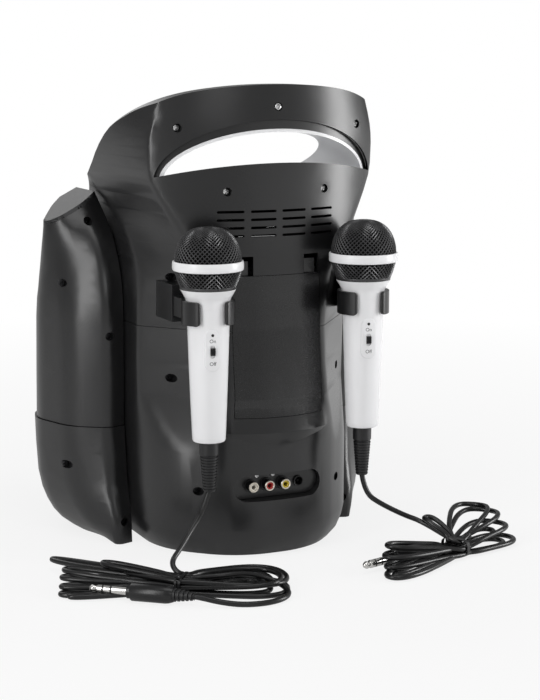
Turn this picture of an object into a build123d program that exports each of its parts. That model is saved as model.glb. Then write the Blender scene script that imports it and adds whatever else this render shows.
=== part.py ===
from build123d import *
import math
import os
from collections import namedtuple

os.makedirs("parts", exist_ok=True)

# ---------------------------------------------------------------- driving sizes (mm)
# The frame stands +Z up, with the front at -Y, the rear face at +Y and the floor at Z = 0.
wall = 2.6                 # moulded wall of every cover
seam = 0.4                 # parting gap between neighbouring covers
fit = 0.3                  # gap between a loose piece and what carries it
running = 0.05             # radial play of a shaft in its bore
rim_height = 1.0           # covers end this far above the floor
foot_height = 3.0          # the rubber feet carry the weight
foot_radius = 8.5
foot_stud_radius = 2.5
foot_pitch_x = 96.0
foot_pitch_y = 104.0
foot_middle_y = -12.0
far = 400.0                # reach of a cutting block, beyond any piece

# body: rear drum below, flat flanks beside the battery door, flared hood above
drum_radius = 92.0
drum_y = -4.0              # the drum's axis stands this far along Y
base_radius = 80.0
crease_height = 25.0
lip_low = 86.0             # underside of the bulge that carries the battery door
lip_high = 103.0
flank_height = 130.0
cover_seam_height = 183.0
front_seam_height = 235.0
body_height = 374.0
nose_y = -112.0            # front face of the body on the centre line
nose_corner_x = 91.0
nose_corner_y = -104.0
nose_round = 12.0
split_y = -20.0            # front and rear covers part here

# hood: its front lies on one slanted plane, the liner and the deck on flatter ones
hood_plane_z = 336.6
hood_plane_slope = 0.589
liner_plane_z = 318.2
liner_plane_slope = 0.285
deck_plane_z = 283.1
deck_plane_slope = 0.36
deck_thickness = 3.0
handle_front_y = 54.0
cavity_half = 86.0         # clear width between the liner's cheeks
cavity_rise = 37.5
opening_z = 300.0          # centre height of the handle opening's ellipse
opening_half = 93.3
opening_rise = 47.0
bezel_half = 88.6
bezel_rise = 40.1
bezel_recess = 3.4
bezel_depth = 4.0
hood_arc_x = 95.5          # the hood's rear face is a cylinder through this corner
hood_arc_y = 55.3
hood_arc_apex = 86.0

# mics stand upright behind the body, in clips
mic_x = 66.5
mic_y = 100.0
mic_bottom = 103.5
mic_turn = 11.5            # both mics are turned this far towards +X about their own axes
mic_top = 221.6
mic_wall = 3.2
band_low = 236.0
band_high = 243.0
ball_radius = 25.8
band_radius = 27.3
ball_top = 268.5
grille_wall = 1.2
relief_length = 40.0
relief_top_radius = 7.3
relief_end_radius = 4.6
relief_rib_pitch = 5.0
cord_diameter = 4.2
plate_z = 176.5
plate_width = 12.0
plate_height = 32.5
plate_back = 13.6
plate_front = 16.3
switch_width = 3.8
switch_height = 5.7
switch_travel = 1.5

# mic clips
clip_low = 195.0
clip_high = 213.3
clip_bore = 17.6
clip_radius = 20.6
clip_turn = 10.5           # both mouths look this far towards +X from +Y
clip_mouth = 35.0          # half angle of the mouth
clip_corner = 3.5          # rounding of the corners of the arms' ends
stalk_x = 77.0
stalk_width = 10.0
stalk_low = 192.0
stalk_high = 221.0
stalk_end_y = 65.0

# side pods
pod_inner_x = 92.8
boot_height = 96.0
cap_plane_z = 284.0
cap_plane_x = 97.0
cap_slope = 0.51
cap_thickness = 3.0
pod_lens_x = 108.0
pod_lens_z = 205.0
pod_lens_radius = 12.0
pod_speaker_z = 150.0
pod_speaker_radius = 13.0

# battery door and bay
door_half = 38.0
door_low = 115.0
door_high = 227.0
bay_front_y = 46.0
bay_wall = 3.0
bay_margin = 1.8           # the bay is wider than its door by this
latch_x = 28.7
latch_width = 14.0
latch_height = 15.0
latch_tab_width = 9.0
latch_tab_height = 11.0
door_travel = 30.0

# socket panel in the rear
av_z = 58.0
av_half = 38.0
av_height = 21.5
av_face_y = 76.0
av_thickness = 2.5
av_pitch = 14.0
av_first_x = 21.0
rca_radius = 4.15
rca_length = 8.0

# disc drive, in the frame of the deck
deck_angle = math.degrees(math.atan(deck_plane_slope))
disc_y = -32.0
well_radius = 63.5
well_wall = 2.0
well_depth = 13.0
flange_radius = 69.0
flange_thickness = 1.2
lid_width = 140.0
lid_reach = 134.0
lid_thickness = 3.0
lid_gap = 0.4
hinge_reach = 71.0         # hinge axis behind the disc's centre
hinge_rise = 3.6
lid_open = 60.0
window_radius = 45.0
pin_radius = 1.5
barrel_radius = 3.0
barrel_length = 16.0
barrel_x = 48.0
lug_width = 4.0
spindle_radius = 1.5
hub_radius = 12.0
hub_low = -10.0
hub_high = -3.5
motor_radius = 13.0
motor_length = 15.0
rail_radius = 1.5
rail_offset = 9.0
rail_z = -17.5
post_width = 3.0
post_inner_x = 14.5
post_outer_x = 61.5
sled_length = 16.0
sled_width = 26.0
sled_start_x = 27.0
sled_travel = 25.0
sled_low = -20.5
sled_high = -14.5
lens_radius = 4.0
lens_top = -9.0

# front controls
panel_half = 66.0
panel_low = 186.0
panel_high = 232.0
panel_front_y = -117.0
button_width = 12.0
button_height = 8.0
button_first_x = -30.0
button_pitch = 20.0
button_z = 195.0
button_proud = 2.5
button_travel = 1.2
knob_radius = 9.0
knob_length = 5.2
knob_x = 50.0
knob_z = 214.0
knob_shaft_radius = 3.0
display_half = 30.0
display_low = 205.0
display_high = 226.0
mic_socket_x = 22.0
mic_socket_z = 174.0
mic_socket_bore = 3.3
speaker_z = 98.0
speaker_radius = 62.0
speaker_bore = 50.0
speaker_front_y = -(mic_y + band_radius)

# screws
screw_head_radius = 2.9
screw_head_height = 2.0
screw_radius = 1.4
screw_length = 8.0
pocket_radius = 3.4
boss_wall = 1.6
boss_root = 9.5            # length of boss below a pocket's floor

Station = namedtuple(
    "Station",
    "height half corner_y flank_x flank_y apex corner_round flank_round nose_x",
)


def drum_station(height, radius, nose_x):
    """Plan of the round lower body, drawn as flanks with large rounds."""
    reach = radius * math.tan(math.radians(22.5))
    return Station(
        height,
        radius,
        drum_y + reach,
        reach,
        drum_y + radius,
        drum_y + radius + 1.0,
        radius * 0.9,
        radius * 0.82,
        nose_x,
    )


def eased(stations, steps):
    """More stations, whose sizes run smoothly through the given ones."""
    made = []
    last = len(stations) - 1
    for index in range(last):
        around = [stations[min(max(index + shift, 0), last)] for shift in (-1, 0, 1, 2)]
        for step in range(steps):
            share = step / steps
            sizes = []
            for before, here, after, beyond in zip(*around):
                start_slope = (after - before) / 2
                end_slope = (beyond - here) / 2
                rise = after - here
                curve = (3 * rise - 2 * start_slope - end_slope) * share**2
                curve += (start_slope + end_slope - 2 * rise) * share**3
                sizes.append(here + start_slope * share + curve)
            made.append(type(around[1])(*sizes))
    return made + [stations[last]]


# the body's plan at rising heights, ending above the handle
body_low_stations = [
    drum_station(0.0, base_radius, 77.0),
    drum_station(crease_height * 0.3, base_radius + 6.5, 83.0),
    drum_station(crease_height * 0.65, base_radius + 10.2, 86.5),
    drum_station(crease_height, drum_radius, 88.5),
    drum_station(lip_low - 1.0, drum_radius, nose_corner_x),
]
body_high_stations = [
    Station(flank_height, drum_radius, 14.0, 44.0, 82.0, 93.0, 14.0, 12.0, nose_corner_x),
    Station(cover_seam_height, drum_radius, 17.0, 43.0, 78.0, 88.0, 14.0, 12.0, nose_corner_x),
    Station(225.0, drum_radius, 18.0, 50.0, 75.5, 86.5, 14.0, 14.0, nose_corner_x),
    Station(250.0, drum_radius + 0.8, 2.0, 67.0, 70.0, 86.0, 18.0, 14.0, 90.5),
    Station(275.0, 96.5, -30.0, 82.0, 63.0, 86.0, 20.0, 12.0, 89.0),
    Station(300.0, 104.5, -66.0, 94.5, 55.5, 86.0, 20.0, 7.0, 97.0),
    Station(318.0, 109.5, -38.0, 96.5, 55.0, 86.0, 30.0, 7.0, 96.0),
    Station(334.0, 112.0, -10.0, 96.0, 55.5, 85.5, 34.0, 7.0, 95.0),
    Station(350.0, 110.5, 8.0, 92.5, 56.5, 84.5, 26.0, 8.0, 94.0),
    Station(380.0, 103.0, 14.0, 84.0, 57.0, 82.0, 26.0, 9.0, 90.0),
]
body_stations = body_low_stations + eased(body_high_stations, 2)

# the bulge under the battery door, from its lip upwards
lip_stations = [
    Station(lip_low, 60.0, 0.0, 30.0, 76.0, 86.0, 12.0, 12.0, 60.0),
    Station(lip_high, drum_radius - 4.0, 8.0, 43.0, 83.0, 95.0, 12.0, 12.0, 84.0),
    Station(flank_height - 2.0, drum_radius - 4.0, 12.0, 42.0, 80.5, 91.5, 12.0, 12.0, 84.0),
]

# the hood's crown seen from behind, from the centre outwards
crown = [
    (0.0, 374.0),
    (24.0, 373.4),
    (50.0, 371.0),
    (71.0, 367.2),
    (88.0, 361.2),
    (100.0, 353.6),
    (108.0, 343.8),
    (112.0, 332.0),
]
crown_run = 3.0

PodStation = namedtuple("PodStation", "height inner rear cheek_x cheek_y outer mid_y turn_x front_x front_y")

# the right-hand pod's plan at rising heights; the other pod is its mirror image
boot_stations = [
    PodStation(rim_height, pod_inner_x, 0.0, 108.0, -28.0, 118.0, -60.0, 112.0, 104.0, -104.0),
    PodStation(10.0, pod_inner_x, -0.5, 119.0, -24.0, 131.0, -70.0, 123.0, 112.0, -108.0),
    PodStation(25.0, pod_inner_x, -1.5, 127.0, -25.0, 141.0, -74.0, 132.0, 119.0, -112.0),
    PodStation(50.0, pod_inner_x, -9.5, 133.0, -28.0, 148.0, -75.0, 139.0, 125.0, -113.0),
    PodStation(boot_height - seam / 2, pod_inner_x, -14.6, 136.0, -29.0, 150.0, -75.0, 141.0, 127.0, -114.0),
]
pod_stations = [
    PodStation(boot_height + seam / 2, pod_inner_x, -16.0, 134.5, -30.0, 148.5, -75.0, 139.5, 126.0, -113.0),
    PodStation(181.0, pod_inner_x, -14.0, 134.5, -30.0, 148.0, -74.0, 137.0, 124.0, -113.0),
    PodStation(204.0, pod_inner_x, -15.0, 134.0, -32.0, 147.0, -72.0, 134.0, 122.0, -113.0),
    PodStation(223.0, pod_inner_x, -20.0, 133.0, -37.0, 146.0, -70.0, 131.0, 120.0, -113.0),
    PodStation(240.0, pod_inner_x + 0.4, -28.0, 133.0, -43.0, 145.0, -67.0, 128.0, 118.0, -113.0),
    PodStation(256.0, pod_inner_x + 1.0, -39.0, 134.0, -48.0, 144.0, -64.0, 125.0, 115.0, -112.0),
    PodStation(269.0, pod_inner_x + 2.2, -52.0, 135.0, -55.0, 143.0, -66.0, 123.0, 113.0, -112.0),
    PodStation(287.0, pod_inner_x + 4.8, -70.0, 134.0, -66.0, 142.0, -74.0, 121.0, 111.0, -112.0),
]


# ---------------------------------------------------------------- helpers
def block(x_range, y_range, z_range):
    """A box between two values on every axis."""
    with BuildPart() as made:
        with BuildSketch(Plane.XY.offset(z_range[0])):
            with Locations(((x_range[0] + x_range[1]) / 2, (y_range[0] + y_range[1]) / 2)):
                Rectangle(x_range[1] - x_range[0], y_range[1] - y_range[0])
        extrude(amount=z_range[1] - z_range[0])
    return made.part


def rod(x, z, y_low, y_high, radius):
    """A cylinder lying along Y."""
    with BuildPart() as made:
        with BuildSketch(Plane.XZ.offset(-y_high)):
            with Locations((x, z)):
                Circle(radius)
        extrude(amount=y_high - y_low)
    return made.part


def slab(height, slope, low, high):
    """The space between two parallel planes that climb along Y."""
    edge = [
        (-far, height - slope * far + low),
        (far, height + slope * far + low),
        (far, height + slope * far + high),
        (-far, height - slope * far + high),
    ]
    with BuildPart() as made:
        with BuildSketch(Plane.YZ):
            with BuildLine():
                Polyline(*edge, close=True)
            make_face()
        extrude(amount=far, both=True)
    return made.part


def turned(profile, x, y):
    """A body of revolution about the upright axis at x, y; the profile is (radius, z)."""
    with BuildPart() as made:
        with BuildSketch(Plane.XZ.offset(-y)):
            with BuildLine():
                Polyline(*[(x + r, z) for r, z in profile], close=True)
            make_face()
        revolve(axis=Axis((x, y, 0), (0, 0, 1)))
    return made.part


def turned_y(profile, x, z):
    """A body of revolution about the axis along Y at x, z; the profile is (radius, y)."""
    with BuildPart() as made:
        with BuildSketch(Plane.XY.offset(z)):
            with BuildLine():
                Polyline(*[(x + r, y) for r, y in profile], close=True)
            make_face()
        revolve(axis=Axis((x, 0, z), (0, 1, 0)))
    return made.part


def at_corner(sketch, x, y):
    """Vertices of a sketch at plus and minus x, at y."""
    near = 0.01
    return [v for v in sketch.vertices() if abs(abs(v.X) - x) < near and abs(v.Y - y) < near]


def body_section(station, inset):
    """Closed plan of the body at one height, moved inwards by inset."""
    s = station
    nose = (s.nose_x, nose_corner_y)
    with BuildSketch(Plane.XY.offset(s.height)) as plan:
        with BuildLine():
            Polyline((-s.flank_x, s.flank_y), (-s.half, s.corner_y), (-nose[0], nose[1]))
            ThreePointArc((-nose[0], nose[1]), (0, nose_y), nose)
            Polyline(nose, (s.half, s.corner_y), (s.flank_x, s.flank_y))
            ThreePointArc((s.flank_x, s.flank_y), (0, s.apex), (-s.flank_x, s.flank_y))
        make_face()
        fillet(at_corner(plan, s.half, s.corner_y), s.corner_round)
        fillet(at_corner(plan, s.flank_x, s.flank_y), s.flank_round)
        fillet(at_corner(plan, nose[0], nose[1]), nose_round)
        if inset:
            offset(amount=-inset)
    return plan.sketch


def body_form(inset):
    """The body's whole form, inset from its outer skin, under the crown."""
    with BuildPart() as form:
        for station in body_stations:
            add(body_section(station, inset))
        loft(ruled=True)
        with BuildSketch(Plane.XZ):
            with BuildLine():
                side = [(x * (1 - inset / crown[-1][0]), z - inset) for x, z in crown]
                end_x, end_z = side[-1]
                low_x, low_z = end_x + crown_run, end_z - crown_run
                left = [(-x, z) for x, z in side[:0:-1]]
                Spline(*(left + side))
                Polyline(
                    (end_x, end_z),
                    (low_x, low_z),
                    (low_x, -wall),
                    (-low_x, -wall),
                    (-low_x, low_z),
                    (-end_x, end_z),
                )
            make_face()
        extrude(amount=body_height, both=True, mode=Mode.INTERSECT)
    return form.part


def pod_section(station, inset):
    """Closed plan of the pod at one height, each corner rounded to suit its runs."""
    s = station
    rear_rise = 5.0
    rear_run = 15.0
    turn_y = s.front_y + 12.0
    points = [
        (s.inner, s.rear),
        (s.inner + rear_run, s.rear + rear_rise),
        (s.cheek_x, s.cheek_y),
        (s.outer, s.mid_y),
        (s.turn_x, turn_y),
        (s.front_x, s.front_y),
        (s.inner, s.front_y),
    ]
    share = 0.42
    with BuildSketch(Plane.XY.offset(s.height)) as plan:
        with BuildLine():
            Polyline(*points, close=True)
        make_face()
        for before, corner, after in zip(points[:4], points[1:5], points[2:6]):
            run_in = Vector(*corner) - Vector(*before)
            run_out = Vector(*after) - Vector(*corner)
            turn = math.radians(run_in.get_angle(run_out))
            shorter = min(run_in.length, run_out.length)
            radius = share * shorter / math.tan(turn / 2)
            fillet(at_corner(plan, *corner), min(radius, 60.0))
        if inset:
            offset(amount=-inset)
    return plan.sketch


def pod_form(stations, inset):
    """One pod length lofted through its plans."""
    with BuildPart() as form:
        for station in eased(stations, 2):
            add(pod_section(station, inset))
        loft(ruled=True)
    return form.part


def both_sides(part):
    """A part and its mirror image across the middle plane."""
    return [part, mirror(part, about=Plane.YZ)]


def save(part, name):
    """Name a finished piece and write its file."""
    part.label = name
    export_step(part, "parts/" + name + ".step")


def group(solids):
    """Several separate solids of one kind under one name."""
    return Compound(children=[Compound(s.solids()) if len(s.solids()) > 1 else s.solid() for s in solids])


# ---------------------------------------------------------------- whole forms
outer = body_form(0.0)
core = body_form(wall)
core_fit = body_form(wall + fit)
mid_wall = body_form(wall / 2)

with BuildPart() as lip:
    for lip_station in lip_stations:
        add(body_section(lip_station, 0.0))
    loft(ruled=True)

with BuildPart() as skin:
    add(outer)
    add(lip.part)
    add(core, mode=Mode.SUBTRACT)
    add(slab(hood_plane_z, hood_plane_slope, -far, 0.0), mode=Mode.INTERSECT)
    add(block((-far, far), (-far, far), (rim_height, far)), mode=Mode.INTERSECT)

# ---------------------------------------------------------------- screw pockets
# (x, y of the surface, z, pocket depth), all driven along -Y
upper_dark = [(73.5, 41.4, 224.0, 5.0), (-73.5, 41.4, 224.0, 5.0)]
upper_silver = [
    (76.8, 64.4, 341.5, 3.0),
    (-76.8, 64.4, 341.5, 3.0),
    (0.0, 85.0, 357.0, 3.0),
    (41.5, 79.5, 292.5, 4.0),
    (-41.5, 79.5, 292.5, 4.0),
]
lower_dark = [
    (73.3, 39.0, 143.0, 6.0),
    (-73.3, 39.0, 143.0, 6.0),
    (61.0, 64.5, 55.0, 6.0),
    (-61.0, 64.5, 55.0, 6.0),
]
pod_dark = [(112.0, -48.0, 262.0, 5.0), (136.0, -36.0, 213.0, 6.0), (106.0, -10.5, 171.0, 6.0)]
boot_dark = [(136.0, -35.0, 63.0, 6.0), (100.0, -0.5, 19.0, 6.0)]


def bosses(places):
    """Posts that stand behind the wall and hold the screws."""
    with BuildPart() as made:
        for x, y, z, depth in places:
            add(rod(x, z, y - depth - boss_root, y + pocket_radius * 2, pocket_radius + boss_wall))
    return made.part


def pockets(places):
    """Screw pockets with their pilot holes."""
    with BuildPart() as made:
        for x, y, z, depth in places:
            add(rod(x, z, y - depth, y + pocket_radius * 3, pocket_radius))
            add(rod(x, z, y - depth - boss_root + 1.0, y, screw_radius + running))
    return made.part


def screws(places):
    """One solid screw in every pocket."""
    made = []
    for x, y, z, depth in places:
        seat = y - depth
        profile = [
            (0, seat - screw_length),
            (screw_radius, seat - screw_length),
            (screw_radius, seat),
            (screw_head_radius, seat),
            (screw_head_radius, seat + screw_head_height * 0.6),
            (screw_head_radius * 0.6, seat + screw_head_height),
            (0, seat + screw_head_height),
        ]
        made.append(turned_y(profile, x, z))
    return made


# ---------------------------------------------------------------- rear covers
def opening_profile(half, rise, y_low, y_high):
    """The handle opening as a prism along Y, straight-sided below its ellipse."""
    with BuildPart() as made:
        with BuildSketch(Plane.XZ.offset(-y_high)):
            with BuildLine():
                EllipticalCenterArc((0, opening_z), half, rise, start_angle=0, arc_size=180)
                Polyline(
                    (-half, opening_z),
                    (-half, opening_z - rise * 2),
                    (half, opening_z - rise * 2),
                    (half, opening_z),
                )
            make_face()
        extrude(amount=y_high - y_low)
    return made.part


above_deck = slab(deck_plane_z, deck_plane_slope, 0.0, far)
opening_back = handle_front_y - 8.0

with BuildPart() as opening_cut:
    add(opening_profile(opening_half, opening_rise, opening_back, far))
    add(above_deck, mode=Mode.INTERSECT)

door_cut = block((-door_half, door_half), (bay_front_y, far), (door_low, door_high))
latch_cuts = both_sides(
    block(
        (latch_x - latch_width / 2, latch_x + latch_width / 2),
        (bay_front_y, far),
        (door_high - seam, door_high + latch_height),
    )
)
upper_zone = block((-far, far), (split_y + seam / 2, far), (cover_seam_height + seam / 2, far))
hood_zone = block((-far, far), (-far, far), (front_seam_height + seam / 2, far))
lower_zone = block((-far, far), (split_y + seam / 2, far), (0, cover_seam_height - seam / 2))
front_zone = block((-far, far), (-far, split_y - seam / 2), (0, front_seam_height - seam / 2))

vent_columns = 4
vent_rows = 4
vent_pitch_x = 26.0
vent_pitch_z = 6.3
vent_length = 21.0
vent_height = 2.0
vent_z = 267.5

with BuildPart() as vents:
    with BuildSketch(Plane.XZ.offset(-far)):
        with Locations((0, vent_z)):
            with GridLocations(vent_pitch_x, vent_pitch_z, vent_columns, vent_rows):
                SlotOverall(vent_length, vent_height)
    extrude(amount=far - bay_front_y)

with BuildPart() as rear_cover_upper:
    add(skin.part)
    with BuildPart(mode=Mode.PRIVATE) as zone:
        add(upper_zone)
        add(hood_zone)
    add(zone.part, mode=Mode.INTERSECT)
    with BuildPart(mode=Mode.PRIVATE) as boss_set:
        add(bosses(upper_dark + upper_silver))
        add(mid_wall, mode=Mode.INTERSECT)
    add(boss_set.part)
    add(pockets(upper_dark + upper_silver), mode=Mode.SUBTRACT)
    add(opening_cut.part, mode=Mode.SUBTRACT)
    add(door_cut, mode=Mode.SUBTRACT)
    for latch_cut in latch_cuts:
        add(latch_cut, mode=Mode.SUBTRACT)
    add(vents.part, mode=Mode.SUBTRACT)
    with BuildPart(mode=Mode.PRIVATE) as front_notch:
        add(block((-cavity_half, cavity_half), (-far, nose_corner_y + 16.0), (front_seam_height, far)))
        add(slab(deck_plane_z, deck_plane_slope, -deck_thickness, far), mode=Mode.INTERSECT)
    add(front_notch.part, mode=Mode.SUBTRACT)
save(rear_cover_upper.part, "rear_cover_upper")


def av_slot(grow, y_low, y_high):
    """The rounded slot of the socket panel, grown by a margin."""
    with BuildPart() as made:
        with BuildSketch(Plane.XZ.offset(-y_high)):
            with Locations((0, av_z)):
                SlotOverall(2 * (av_half + grow), av_height + 2 * grow)
        extrude(amount=y_high - y_low)
    return made.part


with BuildPart() as rear_cover_lower:
    add(skin.part)
    add(lower_zone, mode=Mode.INTERSECT)
    with BuildPart(mode=Mode.PRIVATE) as boss_set:
        add(bosses(lower_dark))
        add(av_slot(boss_wall, av_face_y - av_thickness - 1.5, far))
        add(mid_wall, mode=Mode.INTERSECT)
    add(boss_set.part)
    add(pockets(lower_dark), mode=Mode.SUBTRACT)
    add(av_slot(0.0, 0.0, far), mode=Mode.SUBTRACT)
    add(door_cut, mode=Mode.SUBTRACT)
save(rear_cover_lower.part, "rear_cover_lower")

# ---------------------------------------------------------------- battery door and bay
door_tab_back = 3.4

with BuildPart() as battery_door:
    add(skin.part)
    add(
        block(
            (seam - door_half, door_half - seam),
            (bay_front_y, far),
            (door_low + seam, door_high - seam),
        ),
        mode=Mode.INTERSECT,
    )
    for side in (-1, 1):
        tab_y = hood_arc_apex - door_tab_back - 3.0
        add(
            block(
                (side * latch_x - latch_tab_width / 2, side * latch_x + latch_tab_width / 2),
                (tab_y - 2.0, tab_y),
                (door_high - 6.0, door_high + latch_tab_height),
            )
        )
save(battery_door.part, "battery_door")

bay_half = door_half + bay_margin
bay_low = door_low - bay_margin
bay_high = door_high + bay_margin

with BuildPart() as battery_box:
    add(block((-bay_half - bay_wall, bay_half + bay_wall), (bay_front_y, far), (bay_low, bay_high)))
    add(core_fit, mode=Mode.INTERSECT)
    add(
        block(
            (-bay_half, bay_half),
            (bay_front_y + bay_wall, far),
            (bay_low + bay_wall, bay_high - bay_wall),
        ),
        mode=Mode.SUBTRACT,
    )
    for tab_room in both_sides(
        block(
            (latch_x - latch_width / 2, latch_x + latch_width / 2),
            (bay_front_y + bay_wall, far),
            (door_high - 6.0 - fit, far),
        )
    ):
        add(tab_room, mode=Mode.SUBTRACT)
save(battery_box.part, "battery_box")

# ---------------------------------------------------------------- front shell
with BuildPart() as nose:
    with BuildSketch():
        with BuildLine():
            ThreePointArc((-nose_corner_x, nose_corner_y), (0, nose_y), (nose_corner_x, nose_corner_y))
            Polyline((nose_corner_x, nose_corner_y), (0, far), (-nose_corner_x, nose_corner_y))
        make_face()
    extrude(amount=far)

button_places = [button_first_x + button_pitch * i for i in range(4)]

front_cutters = [rod(0, speaker_z, -far, nose_corner_y + 20.0, speaker_bore)]
for x in (-knob_x, knob_x):
    front_cutters.append(rod(x, knob_z, -far, nose_corner_y + 20.0, knob_shaft_radius + running))
for x in (-mic_socket_x, mic_socket_x):
    front_cutters.append(rod(x, mic_socket_z, -far, nose_corner_y + 20.0, mic_socket_bore + 2.0))
for x in button_places:
    front_cutters.append(
        block(
            (x - button_width / 2 - fit, x + button_width / 2 + fit),
            (-far, nose_corner_y + 20.0),
            (button_z - button_height / 2 - fit, button_z + button_height / 2 + fit),
        )
    )

with BuildPart() as front_shell:
    add(skin.part)
    add(front_zone, mode=Mode.INTERSECT)
    for cutter in front_cutters:
        add(cutter, mode=Mode.SUBTRACT)
save(front_shell.part, "front_shell")

# ---------------------------------------------------------------- base and feet
base_inset = wall + fit
with BuildPart() as base_plate:
    with BuildSketch(Plane.XY.offset(foot_height)):
        add(body_section(drum_station(0.0, base_radius, 77.0), base_inset))
    extrude(amount=wall)
    with BuildSketch(Plane.XY.offset(foot_height)):
        with Locations((0, foot_middle_y)):
            with GridLocations(foot_pitch_x, foot_pitch_y, 2, 2):
                Circle(foot_stud_radius)
    extrude(amount=wall, mode=Mode.SUBTRACT)
save(base_plate.part, "base_plate")

with BuildPart() as rubber_feet:
    with BuildSketch():
        with Locations((0, foot_middle_y)):
            with GridLocations(foot_pitch_x, foot_pitch_y, 2, 2):
                Circle(foot_radius)
    extrude(amount=foot_height)
    with BuildSketch(Plane.XY.offset(foot_height)):
        with Locations((0, foot_middle_y)):
            with GridLocations(foot_pitch_x, foot_pitch_y, 2, 2):
                Circle(foot_stud_radius - running)
    extrude(amount=wall + 1.5)
save(rubber_feet.part, "rubber_feet")

# ---------------------------------------------------------------- handle bezel and hood liner
sagitta = hood_arc_apex - hood_arc_y
hood_arc_radius = (hood_arc_x**2 + sagitta**2) / (2 * sagitta)
hood_arc_centre = hood_arc_apex - hood_arc_radius


def hood_band(depth, thickness):
    """A curved band a given depth under the hood's rear face."""
    with BuildPart() as made:
        with BuildSketch():
            with Locations((0, hood_arc_centre)):
                Circle(hood_arc_radius - depth)
                Circle(hood_arc_radius - depth - thickness, mode=Mode.SUBTRACT)
            with Locations((0, -far + handle_front_y - 20.0)):
                Rectangle(far * 2, far * 2, mode=Mode.SUBTRACT)
        extrude(amount=body_height)
    return made.part


with BuildPart() as handle_bezel:
    add(opening_profile(opening_half - fit, opening_rise - fit, opening_back, far))
    add(opening_profile(bezel_half, bezel_rise, opening_back - 1.0, far), mode=Mode.SUBTRACT)
    add(hood_band(bezel_recess, bezel_depth), mode=Mode.INTERSECT)
    add(slab(deck_plane_z, deck_plane_slope, fit, far), mode=Mode.INTERSECT)
save(handle_bezel.part, "handle_bezel")


def liner_zone(shrink):
    """Space the liner may fill: low behind the cheeks, up to the crown in the handle."""
    with BuildPart() as made:
        add(slab(liner_plane_z, liner_plane_slope, -far, -shrink))
        add(block((-far, far), (handle_front_y + shrink, far), (0, far)))
        add(slab(hood_plane_z, hood_plane_slope, -far, -1.0 - shrink), mode=Mode.INTERSECT)
        add(slab(deck_plane_z, deck_plane_slope, seam - shrink * 4, far), mode=Mode.INTERSECT)
    return made.part


liner_wall = 2.4

with BuildPart() as liner_hollow:
    add(body_form(wall + fit + liner_wall))
    add(liner_zone(liner_wall), mode=Mode.INTERSECT)
    add(
        opening_profile(cavity_half + liner_wall, cavity_rise + liner_wall, -far, far),
        mode=Mode.SUBTRACT,
    )

with BuildPart() as hood_liner:
    add(core_fit)
    add(liner_zone(0.0), mode=Mode.INTERSECT)
    add(opening_profile(cavity_half, cavity_rise, -far, far), mode=Mode.SUBTRACT)
    add(liner_hollow.part, mode=Mode.SUBTRACT)
    add(bosses(upper_silver[:3]), mode=Mode.SUBTRACT)
    with BuildPart(mode=Mode.PRIVATE) as bezel_room:
        add(opening_profile(opening_half, opening_rise, opening_back, far))
        add(opening_profile(bezel_half - running, bezel_rise - running, 0.0, far), mode=Mode.SUBTRACT)
        add(hood_band(-wall, wall + bezel_recess + bezel_depth + fit), mode=Mode.INTERSECT)
    add(bezel_room.part, mode=Mode.SUBTRACT)
save(hood_liner.part, "hood_liner")

# ---------------------------------------------------------------- deck and disc drive
deck_origin_z = deck_plane_z + deck_plane_slope * disc_y
deck = Plane(
    origin=(0, disc_y, deck_origin_z),
    x_dir=(1, 0, 0),
    z_dir=(0, -math.sin(math.radians(deck_angle)), math.cos(math.radians(deck_angle))),
)


def deck_turned(profile, x=0.0):
    """A body of revolution standing on the deck at local x; the profile is (radius, height)."""
    return deck * Pos(x, 0, 0) * turned(profile, 0, 0)


def deck_block(x_range, y_range, z_range):
    """A box in the frame of the deck."""
    return deck * block(x_range, y_range, z_range)


def deck_bar(x_low, x_high, y, z, radius):
    """A cylinder along X in the frame of the deck."""
    with BuildPart() as made:
        with BuildSketch(Plane.YZ.offset(x_low)):
            with Locations((y, z)):
                Circle(radius)
        extrude(amount=x_high - x_low)
    return deck * made.part


lid_low = flange_thickness + lid_gap
lug_inner_x = barrel_x + barrel_length / 2 + fit
lug_outer_x = lug_inner_x + lug_width
lug_corner_radius = math.hypot(barrel_radius, barrel_radius)

with BuildPart() as top_deck:
    add(core_fit)
    add(slab(deck_plane_z, deck_plane_slope, -deck_thickness, 0.0), mode=Mode.INTERSECT)
    add(block((-far, far), (-far, handle_front_y + 16.0), (0, far)), mode=Mode.INTERSECT)
    add(deck_turned([(0, -far), (well_radius + well_wall + fit, -far),
                     (well_radius + well_wall + fit, far), (0, far)]), mode=Mode.SUBTRACT)
    for x_side in (-1, 1):
        lug_x = sorted((x_side * lug_inner_x, x_side * lug_outer_x))
        add(
            deck_block(
                lug_x,
                (hinge_reach - barrel_radius, hinge_reach + barrel_radius),
                (-deck_thickness / 2, hinge_rise + barrel_radius),
            )
        )
    add(
        deck_bar(-lug_outer_x - 1.0, lug_outer_x + 1.0, hinge_reach, hinge_rise, pin_radius + running),
        mode=Mode.SUBTRACT,
    )
save(top_deck.part, "top_deck")

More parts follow.
